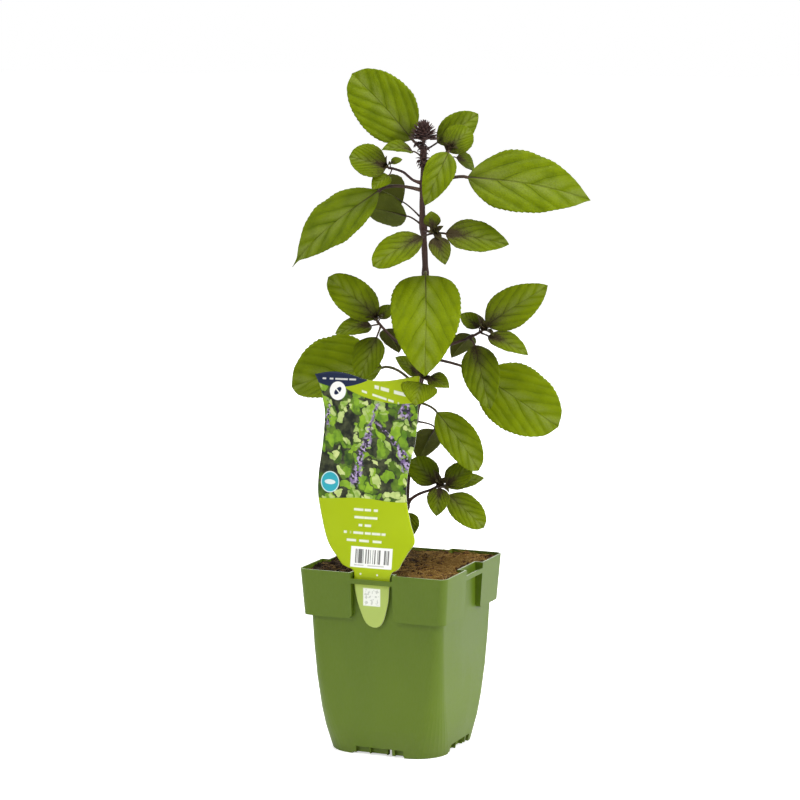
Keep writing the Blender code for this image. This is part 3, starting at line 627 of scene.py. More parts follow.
# %% Mottle group
mottle, given, result = new_group("mottle", {"Scale": 60.0, "Fine Scale": 400.0, "Stretch": 1.0},
                                  ("Slow", "Fine"))
_, (x, y, z) = place(mottle)
spot = combined(x, y, z * given["Stretch"])
slow = texture("Noise", spot, scale=given["Scale"], detail=3.0)
fine = texture("Noise", spot, scale=given["Fine Scale"], detail=4.0)
mottle.links.new(slow.ramp(0.3, 0.7).socket, result.inputs["Slow"])
mottle.links.new(fine.ramp(0.3, 0.7).socket, result.inputs["Fine"])

# %% [markdown]
# ## Leaf materials
# The upper side is bright green, with painted shade in the valleys over the veins and in the fine net,
# painted light on the swellings between the veins, and a painted sheen beside the midrib. Young leaves
# carry purple in their veins, most at the base. The underside is paler and duller. The painted attribute
# `look` says how purple and how light each leaf is, so one pair of materials serves every leaf.

# %% Leaf materials
LIME = (0.185, 0.248, 0.001)
GREEN = (0.064, 0.098, 0.001)
CREASE_SHADE_GREEN = (0.024, 0.045, 0.001)
PAINTED_SHEEN = (0.225, 0.265, 0.075)
PURPLE = (0.036, 0.019, 0.016)
BACK_GREEN = (0.110, 0.138, 0.014)


def leaf_upper_material():
    material, tree = new_material("leaf_upper", roughness=0.42, specular_ior_level=0.12,
                                   specular_tint=(0.80, 0.92, 0.32, 1.0))
    pattern = place_group(tree, leaf_pattern)
    clouds = place_group(tree, mottle, Scale=75.0, Fine_Scale=900.0)
    purple, tone, edge = look_of(tree)
    # Painted light: the swellings between the veins are lighter. The tone is partly painted shade, as in
    # the style table.
    lightness = pattern["Pillow"] * 0.12 + clouds["Slow"] * 0.30 + tone * 0.60 + 0.02
    body = mixed(lightness, GREEN, LIME)
    body = mixed(edge.ramp(0.86, 1.0) * 0.25, body, LIME)
    # Painted sheen: a pale patch beside the midrib stands for the sky's reflection.
    painted_sheen = pattern["Near Midrib"] * pattern["Pillow"] * clouds["Fine"].ramp(0.0, 1.0, 0.5, 1.0) * 0.42
    body = mixed(painted_sheen, body, PAINTED_SHEEN)
    # Painted shade in the creases: the sunken vein valleys and the fine net are darker.
    body = mixed(pattern["Veins"] * 0.52, body, CREASE_SHADE_GREEN)
    body = mixed(pattern["Net"] * 0.14, body, CREASE_SHADE_GREEN)
    base = pattern["Along"].ramp(0.0, 0.50, 1.0, 0.0)
    reach = pattern["Along"].ramp(0.20, 0.90, 1.0, 0.0)
    rib = pattern["Midrib"] * (base * 0.60 + purple * reach * 0.7 + 0.12)
    stain = base * (pattern["Near Midrib"] * 0.80 + clouds["Fine"] * 0.45 + pattern["Veins"] * 0.5 + 0.18)
    branch = pattern["Veins"] * 1.4 + pattern["Net"] * 0.50 + pattern["Near Midrib"] * 0.30 + 0.08
    stain = (stain + reach * branch * clouds["Fine"].ramp(0.0, 1.0, 0.7, 1.1)) * purple
    stain = stain + (purple - 1.0).most(0.0) * 0.55
    body = mixed(rib.most(stain * 1.15).least(0.93), body, PURPLE)
    roughness = clouds["Fine"].ramp(0.0, 1.0, 0.36, 0.48) + pattern["Veins"] * 0.10
    height = clouds["Fine"] * 0.12 - pattern["Veins"] * 0.6 - pattern["Net"] * 0.30
    height = height - pattern["Midrib"] * 0.9 + pattern["Pillow"] * 0.9
    return dressed(material, body, height, 0.7, 0.0006, roughness)


def leaf_under_material():
    material, tree = new_material("leaf_underside", roughness=0.55, specular_ior_level=0.13,
                                   specular_tint=(0.80, 0.92, 0.32, 1.0))
    pattern = place_group(tree, leaf_pattern, Vein_Width=0.08)
    clouds = place_group(tree, mottle, Scale=75.0, Fine_Scale=900.0)
    purple, tone, _ = look_of(tree)
    # The tone darkens the underside too: partly the leaf's own green, partly painted shade.
    body = mixed(clouds["Slow"] * 0.4 + tone * 0.5, (0.050, 0.062, 0.004), BACK_GREEN)
    body = mixed(pattern["Net"] * 0.18, body, (0.11, 0.14, 0.03))
    body = mixed((pattern["Veins"] * 0.35).most(pattern["Midrib"] * 0.5), body, (0.12, 0.13, 0.03))
    body = mixed((purple * 0.60 + pattern["Midrib"] * 0.3).least(0.85), body, (0.060, 0.032, 0.022))
    height = pattern["Veins"] * 0.9 + pattern["Net"] * 0.4 + clouds["Fine"] * 0.2
    return dressed(material, body, height, 0.5, 0.0004)


def stem_material():
    material, tree = new_material("stem_skin", roughness=0.5, specular_ior_level=0.2)
    clouds = place_group(tree, mottle, Scale=110.0, Fine_Scale=1500.0, Stretch=0.25)
    purple, _, _ = look_of(tree)
    bark = mixed(clouds["Slow"], (0.026, 0.011, 0.011), (0.062, 0.030, 0.023))
    green = mixed(clouds["Slow"], (0.09, 0.13, 0.006), (0.14, 0.19, 0.010))
    body = mixed(purple, green, bark)
    body = mixed(clouds["Fine"] * 0.14, body, (0.12, 0.08, 0.06))
    return dressed(material, body, clouds["Fine"] + clouds["Slow"] * 0.6, 0.4, 0.0003)


leaf_upper = leaf_upper_material()
leaf_under = leaf_under_material()
stem_skin = stem_material()
print("leaf_upper nodes:", len(leaf_upper.node_tree.nodes))

# %% [markdown]
# ## One blade
# A blade is a grid of points: rows from base to tip, columns from margin to margin. The outline gives
# each row its width, and a saw-tooth on the outline cuts the fine teeth. Height comes from the arch, the
# fold, a slow wave along the margin and the quilting between the veins. A second sheet just below
# closes the blade, thinner at the margin, so the leaf is a real solid. In the code `t` and `T` run from
# base to tip, `v` and `V` from margin to margin, and `A` is the distance from the midrib over the length.

# %% Blade
OUTLINES = {
    "blunt": ((0, .03), (.03, .20), (.09, .50), (.20, .80), (.34, .97), (.48, 1.0), (.64, .95), (.78, .80),
              (.88, .60), (.95, .38), (1, 0)),
    "ovate": ((0, .03), (.03, .28), (.10, .60), (.20, .86), (.33, .99), (.45, .99), (.60, .89), (.75, .68),
              (.87, .43), (.95, .20), (1, 0)),
    "broad": ((0, .03), (.02, .30), (.08, .62), (.18, .88), (.32, 1.0), (.48, 1.0), (.63, .92), (.77, .74),
              (.89, .48), (.96, .24), (1, 0)),
    "heart": ((0, .05), (.01, .33), (.04, .58), (.10, .80), (.22, .97), (.36, 1.0), (.50, .97), (.62, .87),
              (.74, .69), (.87, .43), (.95, .20), (1, 0)),
    "pointed": ((0, .03), (.04, .30), (.12, .62), (.24, .90), (.36, 1.0), (.50, .97), (.64, .83),
                (.76, .64), (.88, .37), (.95, .15), (1, 0)),
    "drawn_out": ((0, .03), (.04, .28), (.12, .60), (.24, .88), (.38, 1.0), (.50, .98), (.62, .86),
                  (.74, .64), (.84, .36), (.91, .10), (.95, .04), (1, 0)),
}
BLADE_THICKNESS = 0.00036
MARGIN_THICKNESS = 0.00012
TOOTH_DEPTH = 0.035               # of the half width
QUILT_DEPTH = 0.0080              # this and the next ones: of the length
GROOVE_DEPTH, GROOVE_WIDTH = 0.006, 0.016
MARGIN_WAVE = 0.010
MIDRIB_BOW = 0.010


def blade(base, along, facing, length, width, arch, fold, outline, purple, tone, seed,
          teeth=None, columns=None, quilt=1.0, wave=1.0, curl=0.0):
    """A leaf blade from its base point, its direction and the direction its upper side looks in."""
    base, along = np.array(base, dtype=float), unit(np.array(along, dtype=float))
    side = unit(np.cross(along, np.array(facing, dtype=float)))
    upper = np.cross(side, along)
    teeth = teeth or int(np.clip(length / 0.0040, 5, 22))
    columns = columns or (23 if length > 0.06 else 17 if length > 0.03 else 11)
    rows = 4 * teeth + 1
    t = np.linspace(0, 1, rows)
    profile = smooth_curve([(a, b) for a, b in OUTLINES[outline]], 80)
    half = np.interp(t, profile[:, 0], np.maximum(profile[:, 1], 0)) * width / 2
    saw = (np.arange(rows) % 4) / 4
    half = half * (1 + TOOTH_DEPTH * (saw - 0.5) * (t > 0.06) * (t < 0.97))
    half[-1] = 0.0002
    v = np.linspace(-1, 1, columns)
    v = np.sign(v) * np.abs(v) ** 0.9
    T, V = np.meshgrid(t, v, indexing="ij")
    lateral = V * half[:, None]
    A = np.abs(lateral) / length
    lean = A * VEIN_LEAN + A * A * VEIN_CURVE
    phase = (T - lean - VEIN_FIRST) * VEIN_COUNT + (V > 0) * VEIN_STAGGER
    from_vein = np.abs(phase % 1 - 0.5) * 2
    pillow = 1 - from_vein ** 3.0
    fade = np.clip(A / 0.045, 0, 1) * np.clip((0.95 - T) * 4, 0, 1)
    fade *= np.clip((1 - np.abs(V)) * 3.0, 0.1, 1)
    rng = np.random.default_rng(seed)
    wobble = rng.uniform(0, 2 * math.pi, 6)
    uneven = 0.7 + 0.3 * np.sin(5.0 * T + wobble[3]) * np.sin(9.0 * A / 0.3 + wobble[4])
    high = quilt * QUILT_DEPTH * length * pillow * fade * uneven
    high -= GROOVE_DEPTH * length * np.exp(-(A / GROOVE_WIDTH) ** 2) * np.clip(T * 8, 0, 1)
    for sign, shift in ((-1, wobble[0]), (1, wobble[1])):
        ripple = np.sin(2 * math.pi * 2.3 * T + shift) + 0.5 * np.sin(2 * math.pi * 4.9 * T + 2 * shift)
        near_margin = np.clip(V * sign, 0, 1) ** 2.5
        high += wave * MARGIN_WAVE * length * ripple * near_margin * np.sin(math.pi * T)
    arched = 4 * arch * length * T * (1 - T) - curl * length * T ** 3
    bow = MIDRIB_BOW * length * np.sin(math.pi * T * 1.5 + wobble[2])
    raised_by = arched + fold * np.abs(lateral) + high
    points = (base + along * (length * T)[..., None] + upper * raised_by[..., None]
              + side * (lateral + bow * T)[..., None])
    down = unit(np.cross(np.gradient(points, axis=0), np.gradient(points, axis=1)))
    thick = MARGIN_THICKNESS + (BLADE_THICKNESS - MARGIN_THICKNESS) * np.clip((1 - np.abs(V)) * 4, 0, 1)
    lower = points + down * thick[..., None]
    uv = np.stack([0.5 + (lateral / length).ravel(), T.ravel()], 1)
    look = np.stack([np.full(V.size, purple), np.full(V.size, tone), np.abs(V).ravel()], 1)
    return closed_sheet(points, lower, uv, look, rim_material=0), points, down


# %% [markdown]
# ## Leaves on their stalks
# Each leaf gets its stalk as a thin tube that bends from the stem into the blade and runs on below it as
# the midrib, thinner and greener towards the tip. The style table says which outline a leaf has, how
# purple it is and how light: the youngest, at the shoot tips, are the most purple.

# %% Leaf styles
Style = namedtuple("Style", "outline purple tone quilt curl", defaults=("ovate", 0.0, 0.6, 1.0, 0.0))
# Tone is partly the leaf's own green and partly painted shade: leaves that lie under or behind others get
# a low tone.
STYLES = {                        # outline, purple, tone, quilt, curl
    "top_left": ("blunt", .1, .33, 1.6), "top_right": ("ovate", .35, .25, 1.3),
    "crown_front": ("ovate", .55, .02, 1.2), "crown_back": ("blunt", .95, .25, 1.6),
    "crown_hanging": ("ovate", .05, .4, 1.0), "crown_bud_leaf": ("ovate", 1.0, 0, 1.0),
    "high_right": ("pointed", .12, .36, 1.4), "high_left": ("drawn_out", 0, .12, 1.0, .05),
    "side_left_round": ("blunt", .85, .3, 1.3), "side_left_small": ("ovate", .1, .55),
    "side_left_bud": ("ovate", .7, .3), "backlit_left": ("blunt", .3, .25),
    "shade_left": ("blunt", .1, .45), "front_left": ("blunt", .6, .6, 1.2),
    "front_right": ("ovate", .75, .36, 1.2), "front_up": ("ovate", 1.25, .45),
    "front_down": ("ovate", 1.5, .4), "middle_hanging": ("heart", 0, .66, .6),
    "middle_back": ("broad", .2, .1), "left_upper": ("blunt", .42, .55, 1.2),
    "left_lower": ("ovate", .85, .3, 1.2), "left_small": ("ovate", 1.0, .1),
    "left_dark": ("ovate", .5, 0), "left_big": ("blunt", 0, .4, 1.1),
    "left_hanging": ("ovate", .3, .25, 1.2), "centre_left": ("ovate", 1.0, .5),
    "centre_right": ("ovate", 1.0, .45), "centre_front": ("ovate", .18, .7),
    "right_upper": ("ovate", .4, .62, 1.3), "right_inner": ("ovate", 1.0, .55),
    "right_lower": ("ovate", .95, .5, 1.2), "right_hanging": ("ovate", .5, .32, 1.1),
    "right_dark": ("ovate", .3, .1), "right_big": ("blunt", 0, .6, 1.3),
    "low_right_hanging": ("blunt", 0, .42, .8), "low_dark": ("broad", .3, .2),
    "low_round": ("blunt", .65, .15, 1.0), "low_up": ("blunt", 1.0, .2, 1.1),
    "low_far": ("ovate", .1, .35), "low_down": ("ovate", 1.0, .3, 1.1),
    "low_tip": ("blunt", .3, .4, 1.1), "low_hidden": ("ovate", .2, .1),
}

# %% [markdown]
# Now the pieces: each leaf is joined to its stalk and takes the place of its CAD solid.

# %% Leaves
LEAF_MATERIALS = (leaf_upper, leaf_under, stem_skin)
STALK_RINGS, RIB_RINGS = 9, 16
STALK_BEND = 0.35                 # of the stalk's length
ROOT_SWELL = 0.35                 # of the stalk's radius
RIB_END = 0.92                    # of the blade's length
RIB_TIP_RADIUS = 0.00012
GREEN_STALKS = ("middle_hanging", "left_big", "low_right_hanging")


def leaf_piece(number, leaf):
    """A leaf in place of its CAD solid: blade, and one tube for stalk and midrib."""
    style = Style(*STYLES[leaf.name])
    root, blade_start = leaf_root(leaf)
    length, width, compass, rise = leaf.blade
    along = towards(compass, rise)
    patch, upper_points, down = blade(
        blade_start, along, towards(*leaf.faces), length, width, leaf.arch, leaf.fold, style.outline,
        style.purple, style.tone, seed=number, quilt=style.quilt, curl=style.curl)
    base = np.array(blade_start)
    start = np.array(root)
    bend = base - np.array(along) * float((blade_start - root).length) * STALK_BEND
    t = np.linspace(0, 1, STALK_RINGS)[:, None]
    stalk = (1 - t) ** 2 * start + 2 * t * (1 - t) * bend + t ** 2 * base
    middle = upper_points.shape[1] // 2
    rows = np.linspace(1, upper_points.shape[0] * RIB_END, RIB_RINGS).astype(int)
    radius = stalk_radius_of(leaf)
    rib_radii = np.linspace(radius * 0.95, RIB_TIP_RADIUS, RIB_RINGS)
    rib = upper_points[rows, middle] + down[rows, middle] * (rib_radii * 0.75 + 0.0002)[:, None]
    path = np.concatenate([stalk[:-1], rib])
    root_swell = 1 + ROOT_SWELL * np.exp(-np.linspace(0, 6, STALK_RINGS - 1))
    radii = np.concatenate([np.full(STALK_RINGS - 1, radius) * root_swell, rib_radii])
    fresh = 0.70 if leaf.name in GREEN_STALKS else 0.95
    purple = np.concatenate([np.full(STALK_RINGS - 1, fresh), np.linspace(fresh, 0.0, RIB_RINGS)])
    stalk_tube = tube(path, radii, 10, purple, style.tone, material=2)
    return make_piece(f"basil_leaf_{leaf.name}", [patch, stalk_tube], LEAF_MATERIALS,
                      (f"leaf_{leaf.name}",))


leaf_pieces = [leaf_piece(number, leaf) for number, leaf in enumerate(LEAVES)]
print("leaf pieces:", len(leaf_pieces), "faces:", sum(len(p.data.polygons) for p in leaf_pieces))

# %% [markdown]
# ## Buds at the shoot tips
# Each side shoot ends in a bunch of tiny leaves that have not opened. They stand in crossed pairs, the
# inner ones smaller and more upright, all deep purple. The same blade maker serves, with few columns.

# %% Shoot buds
BUD_PAIRS = (                     # length, rise, width
    (0.0125, 34, 0.0064), (0.0100, 52, 0.0052), (0.0075, 68, 0.0040), (0.0050, 80, 0.0026))
PAIR_STEP = 0.0006
BUD_LEAN = (0.15, -0.4, 0.6)      # up, and towards the labelled side
BUD_TURN = (0.3, 0.5, 0.1)        # the first pair stands at right angles to this
BUD_PURPLE = 2.2                  # over 1, the whole leaf is purple and not only its veins
BUD_SCALES = {
    "shoot_upper_left": 0.95, "shoot_upper_right": 0.9, "shoot_front": 1.0, "shoot_left": 1.15,
    "shoot_right": 1.15, "shoot_centre": 1.05, "shoot_low_right": 1.1}


def shoot_bud(name, scale):
    """Crossed pairs of small leaves round the tip of a shoot."""
    path = stem_path(name)
    tip = np.array(path[-1])
    heading = unit(np.array(path[-1] - path[-2]))
    heading = unit(heading * 0.6 + np.array(BUD_LEAN))
    first = unit(np.cross(heading, BUD_TURN))
    second = np.cross(heading, first)
    patches = []
    seed = sum(ord(letter) for letter in name)
    for pair, (length, rise, width) in enumerate(BUD_PAIRS):
        axis = first if pair % 2 == 0 else second
        for sign in (-1, 1):
            direction, facing = raised(axis * sign, heading, rise)
            patches.append(blade(
                tip + heading * PAIR_STEP * pair, direction, facing, length * scale, width * scale, 0.10,
                0.35, "ovate", BUD_PURPLE, 0.30 - 0.10 * pair, seed=seed + pair * 2 + sign, teeth=5,
                columns=9, wave=0.5, curl=0.1)[0])
    return make_piece(f"bud_of_{name}", patches, LEAF_MATERIALS)


buds = [shoot_bud(name, scale) for name, scale in BUD_SCALES.items()]
print("buds:", len(buds))

# %% [markdown]
# ## Stems
# The main stem is four-angled with a shallow groove on each side. We sweep that section along the curve
# and swell it where shoots and leaf stalks leave. Side shoots are the same, thinner.

# %% Stems
NODE_SWELL = 0.22                 # of the radius
NODE_REACH = 0.0035
MAIN_NODES = sorted({leaf.at for leaf in LEAVES if leaf.stem == "main_stem"}
                    | {STEMS[name].points[0][2] for name in STEMS if name != "main_stem"})


def stem_piece(name):
    """A swept stem in place of its CAD solid."""
    stem = STEMS[name]
    path = smooth_curve([tuple(point) for point in stem_path(name)], 260 if name == "main_stem" else 60)
    if name != "main_stem":
        inward = unit(path[0] - path[1])
        path = np.concatenate([path[:1] + inward * 0.0012, path])
    share = np.linspace(0, 1, len(path))
    radii = stem.root_radius + share * (stem.tip_radius - stem.root_radius)
    if name == "main_stem":
        for node in MAIN_NODES:
            radii *= 1 + NODE_SWELL * np.exp(-((path[:, 2] - node) / NODE_REACH) ** 2)
        radii *= 1 + 0.03 * np.sin(path[:, 2] * 310)
    else:
        radii *= 1 + 0.5 * np.exp(-share * 14) + 0.25 * np.exp(-(1 - share) * 12)
    body = tube(path, radii, 24 if name == "main_stem" else 16, 1.0, 0.5, squareness=0.09)
    return make_piece(f"basil_{name}", [body], (stem_skin,), (name,))


stems = [stem_piece(name) for name in STEMS]
print("stems:", len(stems))

# %% [markdown]
# ## Flower spike
# The flowers are still hidden: the spike is a cone of overlapping pointed bracts, dark purple-brown with
# paler edges. Loose rings of buds sit below it.

# %% Spike material
def spike_material(name, dark, light):
    material, tree = new_material(name, roughness=0.6, specular_ior_level=0.3)
    clouds = place_group(tree, mottle, Scale=300.0, Fine_Scale=1800.0)
    _, _, edge = look_of(tree)
    body = mixed(clouds["Slow"] * 0.6, dark, light)
    body = mixed(edge.ramp(0.55, 1.0) * 0.5, body, light)
    return dressed(material, body, clouds["Fine"], 0.4, 0.0002)


bract_skin = spike_material("bract_skin", (0.024, 0.011, 0.012), (0.120, 0.060, 0.048))

# %% [markdown]
# Eighty-odd small blades are set round a core at the golden angle, which is how plants pack them: 137.5
# degrees from one to the next never lines up in rows. The rings of buds follow the top of the stem.

# %% Bracts
GOLDEN_ANGLE = math.radians(137.5)
SPIKE_BASE = 0.4968
CONE_FOOT, CONE_TOP = 0.0048, 0.0163          # over the top of the stem
CONE_RADIUS = 0.0068
CORE_NECK = 0.0012
BRACTS = 84
BRACT_RISE = (-6, 78)             # degrees, at the foot and at the top
WHORLS = (                        # height over the stem's top, buds, length of a bud
    (0.0008, 10, 0.0050), (-0.0028, 9, 0.0042), (-0.0060, 6, 0.0030), (-0.0120, 10, 0.0052),
    (-0.0150, 9, 0.0042), (-0.0175, 6, 0.0030))
WHORL_RISE = (-18, 32)            # degrees, in turn
UP = np.array((0.0, 0.0, 1.0))


def bract(start, outward, rise, length, width, arch, fold, outline, **bends):
    """One small pointed blade; it has a few points only."""
    direction, facing = raised(outward, UP, rise)
    return blade(start, direction, facing, length, width, arch, fold, outline, 0.0, 0.5, teeth=2,
                 columns=5, quilt=0.0, **bends)[0]


def outward_at(angle):
    return np.array((math.cos(angle), math.sin(angle), 0.0))


spike_foot = np.array((*STEMS["main_stem"].points[-1][:2], SPIKE_BASE))
bracts = []
for number in range(BRACTS):
    share = number / (BRACTS - 1)
    outward = outward_at(number * GOLDEN_ANGLE)
    reach = CONE_RADIUS * math.sqrt(1 - share ** 2.2)
    start = spike_foot + UP * (CONE_FOOT + (CONE_TOP - CONE_FOOT) * share) + outward * reach * 0.8
    rise = BRACT_RISE[0] + (BRACT_RISE[1] - BRACT_RISE[0]) * share ** 1.6
    bracts.append(bract(start, outward, rise, 0.0070 - 0.0020 * share, 0.0036 - 0.0012 * share, 0.06,
                        0.35, "pointed", seed=number, wave=0.2, curl=-0.18))
heights = np.linspace(0.0, 1.0, 16)
flare = CONE_FOOT / CONE_TOP * 0.8            # where the core widens, as a share of its height
dome = np.clip((heights - flare) / (1 - flare), 0, 1)
core_radii = np.sqrt(np.clip(1 - dome ** 2.2, 0, 1)) * np.clip(dome * 8, 0, 1)
core_radii = CORE_NECK + (CONE_RADIUS - CORE_NECK) * 0.9 * core_radii
core_radii[-1] = 0.0003
bracts.append(tube(spike_foot + np.outer(heights * CONE_TOP * 1.03, UP), core_radii, 16, 1.0, 0.2))
for height, count, length in WHORLS:
    level = SPIKE_BASE + height
    middle, _, _ = place_on_stem("main_stem", min(level, STEMS["main_stem"].points[-1][2]))
    for number in range(count):
        outward = outward_at(2 * math.pi * number / count + height * 300)
        start = np.array((middle.x, middle.y, level)) + outward * 0.0015
        bracts.append(bract(start, outward, WHORL_RISE[number % 2], length, length * 0.62, 0.12, 0.5,
                            "ovate", seed=number, wave=0.3, curl=0.2))
make_piece("flower_spike_bracts", bracts, (bract_skin, bract_skin), ("flower_spike",))
print("bracts and buds:", len(bracts) - 1)

# %% [markdown]
# ## Compost
# The compost is dark moist peat on the left and golden coir on the right. The CAD block fills the pot
# and stays. On top of it lie a finely lumped sheet, loose crumbs and fibres, some with an end that
# stands up.

# %% Compost material
def coat(node_name, material):
    """Give a CAD node that stays in view its material."""
    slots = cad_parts[node_name].data.materials
    slots.clear()
    slots.append(material)


def compost_material(name, dark, middle, pale):
    material, tree = new_material(name, roughness=0.9, specular_ior_level=0.15)
    clouds = place_group(tree, mottle, Scale=120.0, Fine_Scale=1100.0)
    _, (x, y, _) = place(tree)
    _, tone, _ = look_of(tree)
    golden = (x + y * 0.15 + (clouds["Slow"] - 0.5) * 0.035).ramp(-0.015, 0.045)
    body = mixed(golden * 0.85, dark, middle)
    body = mixed(tone * clouds["Fine"] * 0.8, body, pale)
    return dressed(material, body, clouds["Fine"] + clouds["Slow"], 0.8, 0.0008)


compost_skin = compost_material("compost_skin", (0.014, 0.008, 0.004), (0.085, 0.036, 0.009),
                                (0.160, 0.080, 0.022))
fibre_skin = compost_material("fibre_skin", (0.060, 0.030, 0.008), (0.33, 0.180, 0.035),
                              (0.66, 0.44, 0.15))
coat("potting_soil", compost_skin)

# %% [markdown]
# The sheet repeats the CAD block's low mound and adds finer lumps. It has to end at the pot's inner wall,
# so every point is pulled inside the pot's room.

# %% Compost sheet
SOIL_LEVEL = 0.1505
SOIL_ROUGHNESS = 0.0009
SOIL_LUMP_SIZE = 0.014
SHEET_LIFT = 0.0006               # over the CAD block
FINE_LUMP_HEIGHT, FINE_LUMP_SIZE = 0.0011, 0.0042
MOUND_CENTRE = (-0.046, -0.006)
MOUND_HEIGHT = 0.0035
MOUND_RADIUS = 0.016
ROOM_HALF = 0.0630                # half the inside width at the rim
ROOM_CORNER = 0.0052
SLOT_BACK = 0.0564                # the wall behind a label slot, from the pot's axis
SLOT_BACK_HALF = 0.0206


def soil_height(x, y):
    """Height of the compost's top, as in the CAD part."""
    lumps = noise.noise(Vector((x, y, 0.0)) / SOIL_LUMP_SIZE)
    away = math.hypot(x - MOUND_CENTRE[0], y - MOUND_CENTRE[1]) / MOUND_RADIUS
    return SOIL_LEVEL + SOIL_ROUGHNESS * lumps + MOUND_HEIGHT * math.exp(-away * away)


def inside_pot(x, y, margin=0.0):
    """Pull a place inside the pot's room, which has round corners and four slot backs."""
    half = ROOM_HALF - margin
    x, y = max(-half, min(half, x)), max(-half, min(half, y))
    flat = half - ROOM_CORNER
    if abs(x) > flat and abs(y) > flat:
        reach = math.hypot(abs(x) - flat, abs(y) - flat)
        if reach > ROOM_CORNER:
            x = math.copysign(flat + (abs(x) - flat) * ROOM_CORNER / reach, x)
            y = math.copysign(flat + (abs(y) - flat) * ROOM_CORNER / reach, y)
    back = SLOT_BACK - margin
    if abs(x) < SLOT_BACK_HALF + margin and abs(y) > back:
        y = math.copysign(back, y)
    if abs(y) < SLOT_BACK_HALF + margin and abs(x) > back:
        x = math.copysign(back, x)
    return x, y


def rough_height(x, y):
    """Height of the sheet: the CAD height with finer lumps on it."""
    fine = noise.fractal(Vector((x, y, 0.3)) / FINE_LUMP_SIZE, 0.9, 2.1, 4)
    return soil_height(x, y) + SHEET_LIFT + FINE_LUMP_HEIGHT * fine


SHEET_CELLS = 150
sheet_points, sheet_look = [], []
for row in range(SHEET_CELLS + 1):
    for column in range(SHEET_CELLS + 1):
        u, v = 2 * column / SHEET_CELLS - 1, 2 * row / SHEET_CELLS - 1
        x, y = inside_pot(ROOM_HALF * u, ROOM_HALF * v)
        sheet_points.append((x, y, rough_height(x, y)))
        sheet_look.append((0.0, noise.noise(Vector((x, y, 0.0)) / 0.002) * 0.5 + 0.2, 0.0))
sheet_points = np.array(sheet_points)
sheet = Patch(sheet_points, grid_faces(SHEET_CELLS + 1, SHEET_CELLS + 1), sheet_points[:, :2] + 0.1,
              np.array(sheet_look), 0)
make_piece("compost_surface", [sheet], (compost_skin,))
print("compost top, mm:", round(1000 * float(sheet_points[:, 2].max()), 1))

# %% [markdown]
# Crumbs are small uneven lumps, most of them tiny, pressed a little into the sheet.

# %% Crumbs
CRUMBS = 760
SMALLEST_CRUMB, CRUMB_RANGE = 0.0005, 0.0019


def crumb(centre, size, rng, tone):
    """A small lump: a sphere of rings with uneven reach."""
    rings, sides = 5, 7
    points = []
    stretch = rng.uniform(0.6, 1.4, 3)
    for ring in range(rings):
        lift = math.pi * (ring + 0.5) / rings
        for side in range(sides):
            turn = 2 * math.pi * (side + 0.5 * (ring % 2)) / sides
            reach = size * rng.uniform(0.75, 1.2)
            points.append(centre + reach * stretch * np.array((
                math.sin(lift) * math.cos(turn), math.sin(lift) * math.sin(turn), math.cos(lift) * 0.8)))
    points = np.array(points + [centre + (0, 0, size * 0.8), centre - (0, 0, size * 0.8)])
    faces = [face[::-1] for face in ringed_faces(rings, sides)]
    look = np.tile((0.0, tone, 0.0), (len(points), 1))
    return Patch(points, faces, points[:, :2] + 0.1, look, 0)


rng = np.random.default_rng(11)
lumps = []
for number in range(CRUMBS):
    x, y = inside_pot(*rng.uniform(-ROOM_HALF, ROOM_HALF, 2), margin=0.002)
    size = SMALLEST_CRUMB + CRUMB_RANGE * rng.random() ** 2.5
    lumps.append(crumb(np.array((x, y, rough_height(x, y) + size * 0.3)), size, rng, rng.random() ** 2))
make_piece("compost_crumbs", lumps, (compost_skin,))
print("crumbs:", CRUMBS)

# %% [markdown]
# Coir fibres are most common on the golden side. Each one wanders, and turns back before the wall.

# %% Fibres
FIBRES = 900
FIBRE_LENGTHS = (0.008, 0.036)
THINNEST_FIBRE, FIBRE_RADIUS_RANGE = 0.00012, 0.00028
STANDING = 0.16                   # share of the fibres that stand up at one end


def fibre(rng):
    """A curved coir fibre on the compost."""
    x, y = rng.uniform(-ROOM_HALF, ROOM_HALF, 2)
    if rng.random() > 0.30 + 0.70 * np.clip((x + 0.035) / 0.07, 0, 1):
        x = abs(x)
    turn, bend = rng.uniform(0, 2 * math.pi), rng.normal(0, 1.0)
    length = rng.uniform(*FIBRE_LENGTHS)
    standing = rng.random() < STANDING
    rise = rng.uniform(0.10, 0.34) if standing else 0.0
    lift = rng.uniform(0.0, 0.0018)
    steps = 9
    points = []
    for step in range(steps):
        share = step / (steps - 1)
        place_x, place_y = inside_pot(x, y, margin=0.0012)
        height = rough_height(place_x, place_y) + 0.0002 + lift * math.sin(math.pi * share)
        points.append((place_x, place_y, height + rise * length * share ** 2))
        turn += bend * 0.25 + rng.normal(0, 0.18)
        if max(abs(x), abs(y)) > ROOM_HALF * 0.80:
            turn = math.atan2(-y, -x) + bend * 0.5
        pace = length / (steps - 1) * (1 - 0.5 * rise * share)
        x, y = x + pace * math.cos(turn), y + pace * math.sin(turn)
    path = smooth_curve(points, 14)
    radii = (THINNEST_FIBRE + FIBRE_RADIUS_RANGE * rng.random() ** 2) * np.linspace(1, 0.4, 14)
    return tube(path, radii, 5, 0.0, rng.random())


rng = np.random.default_rng(5)
fibres = make_piece("coir_fibres", [fibre(rng) for _ in range(FIBRES)], (fibre_skin,))
print("fibres:", FIBRES, "faces:", len(fibres.data.polygons))
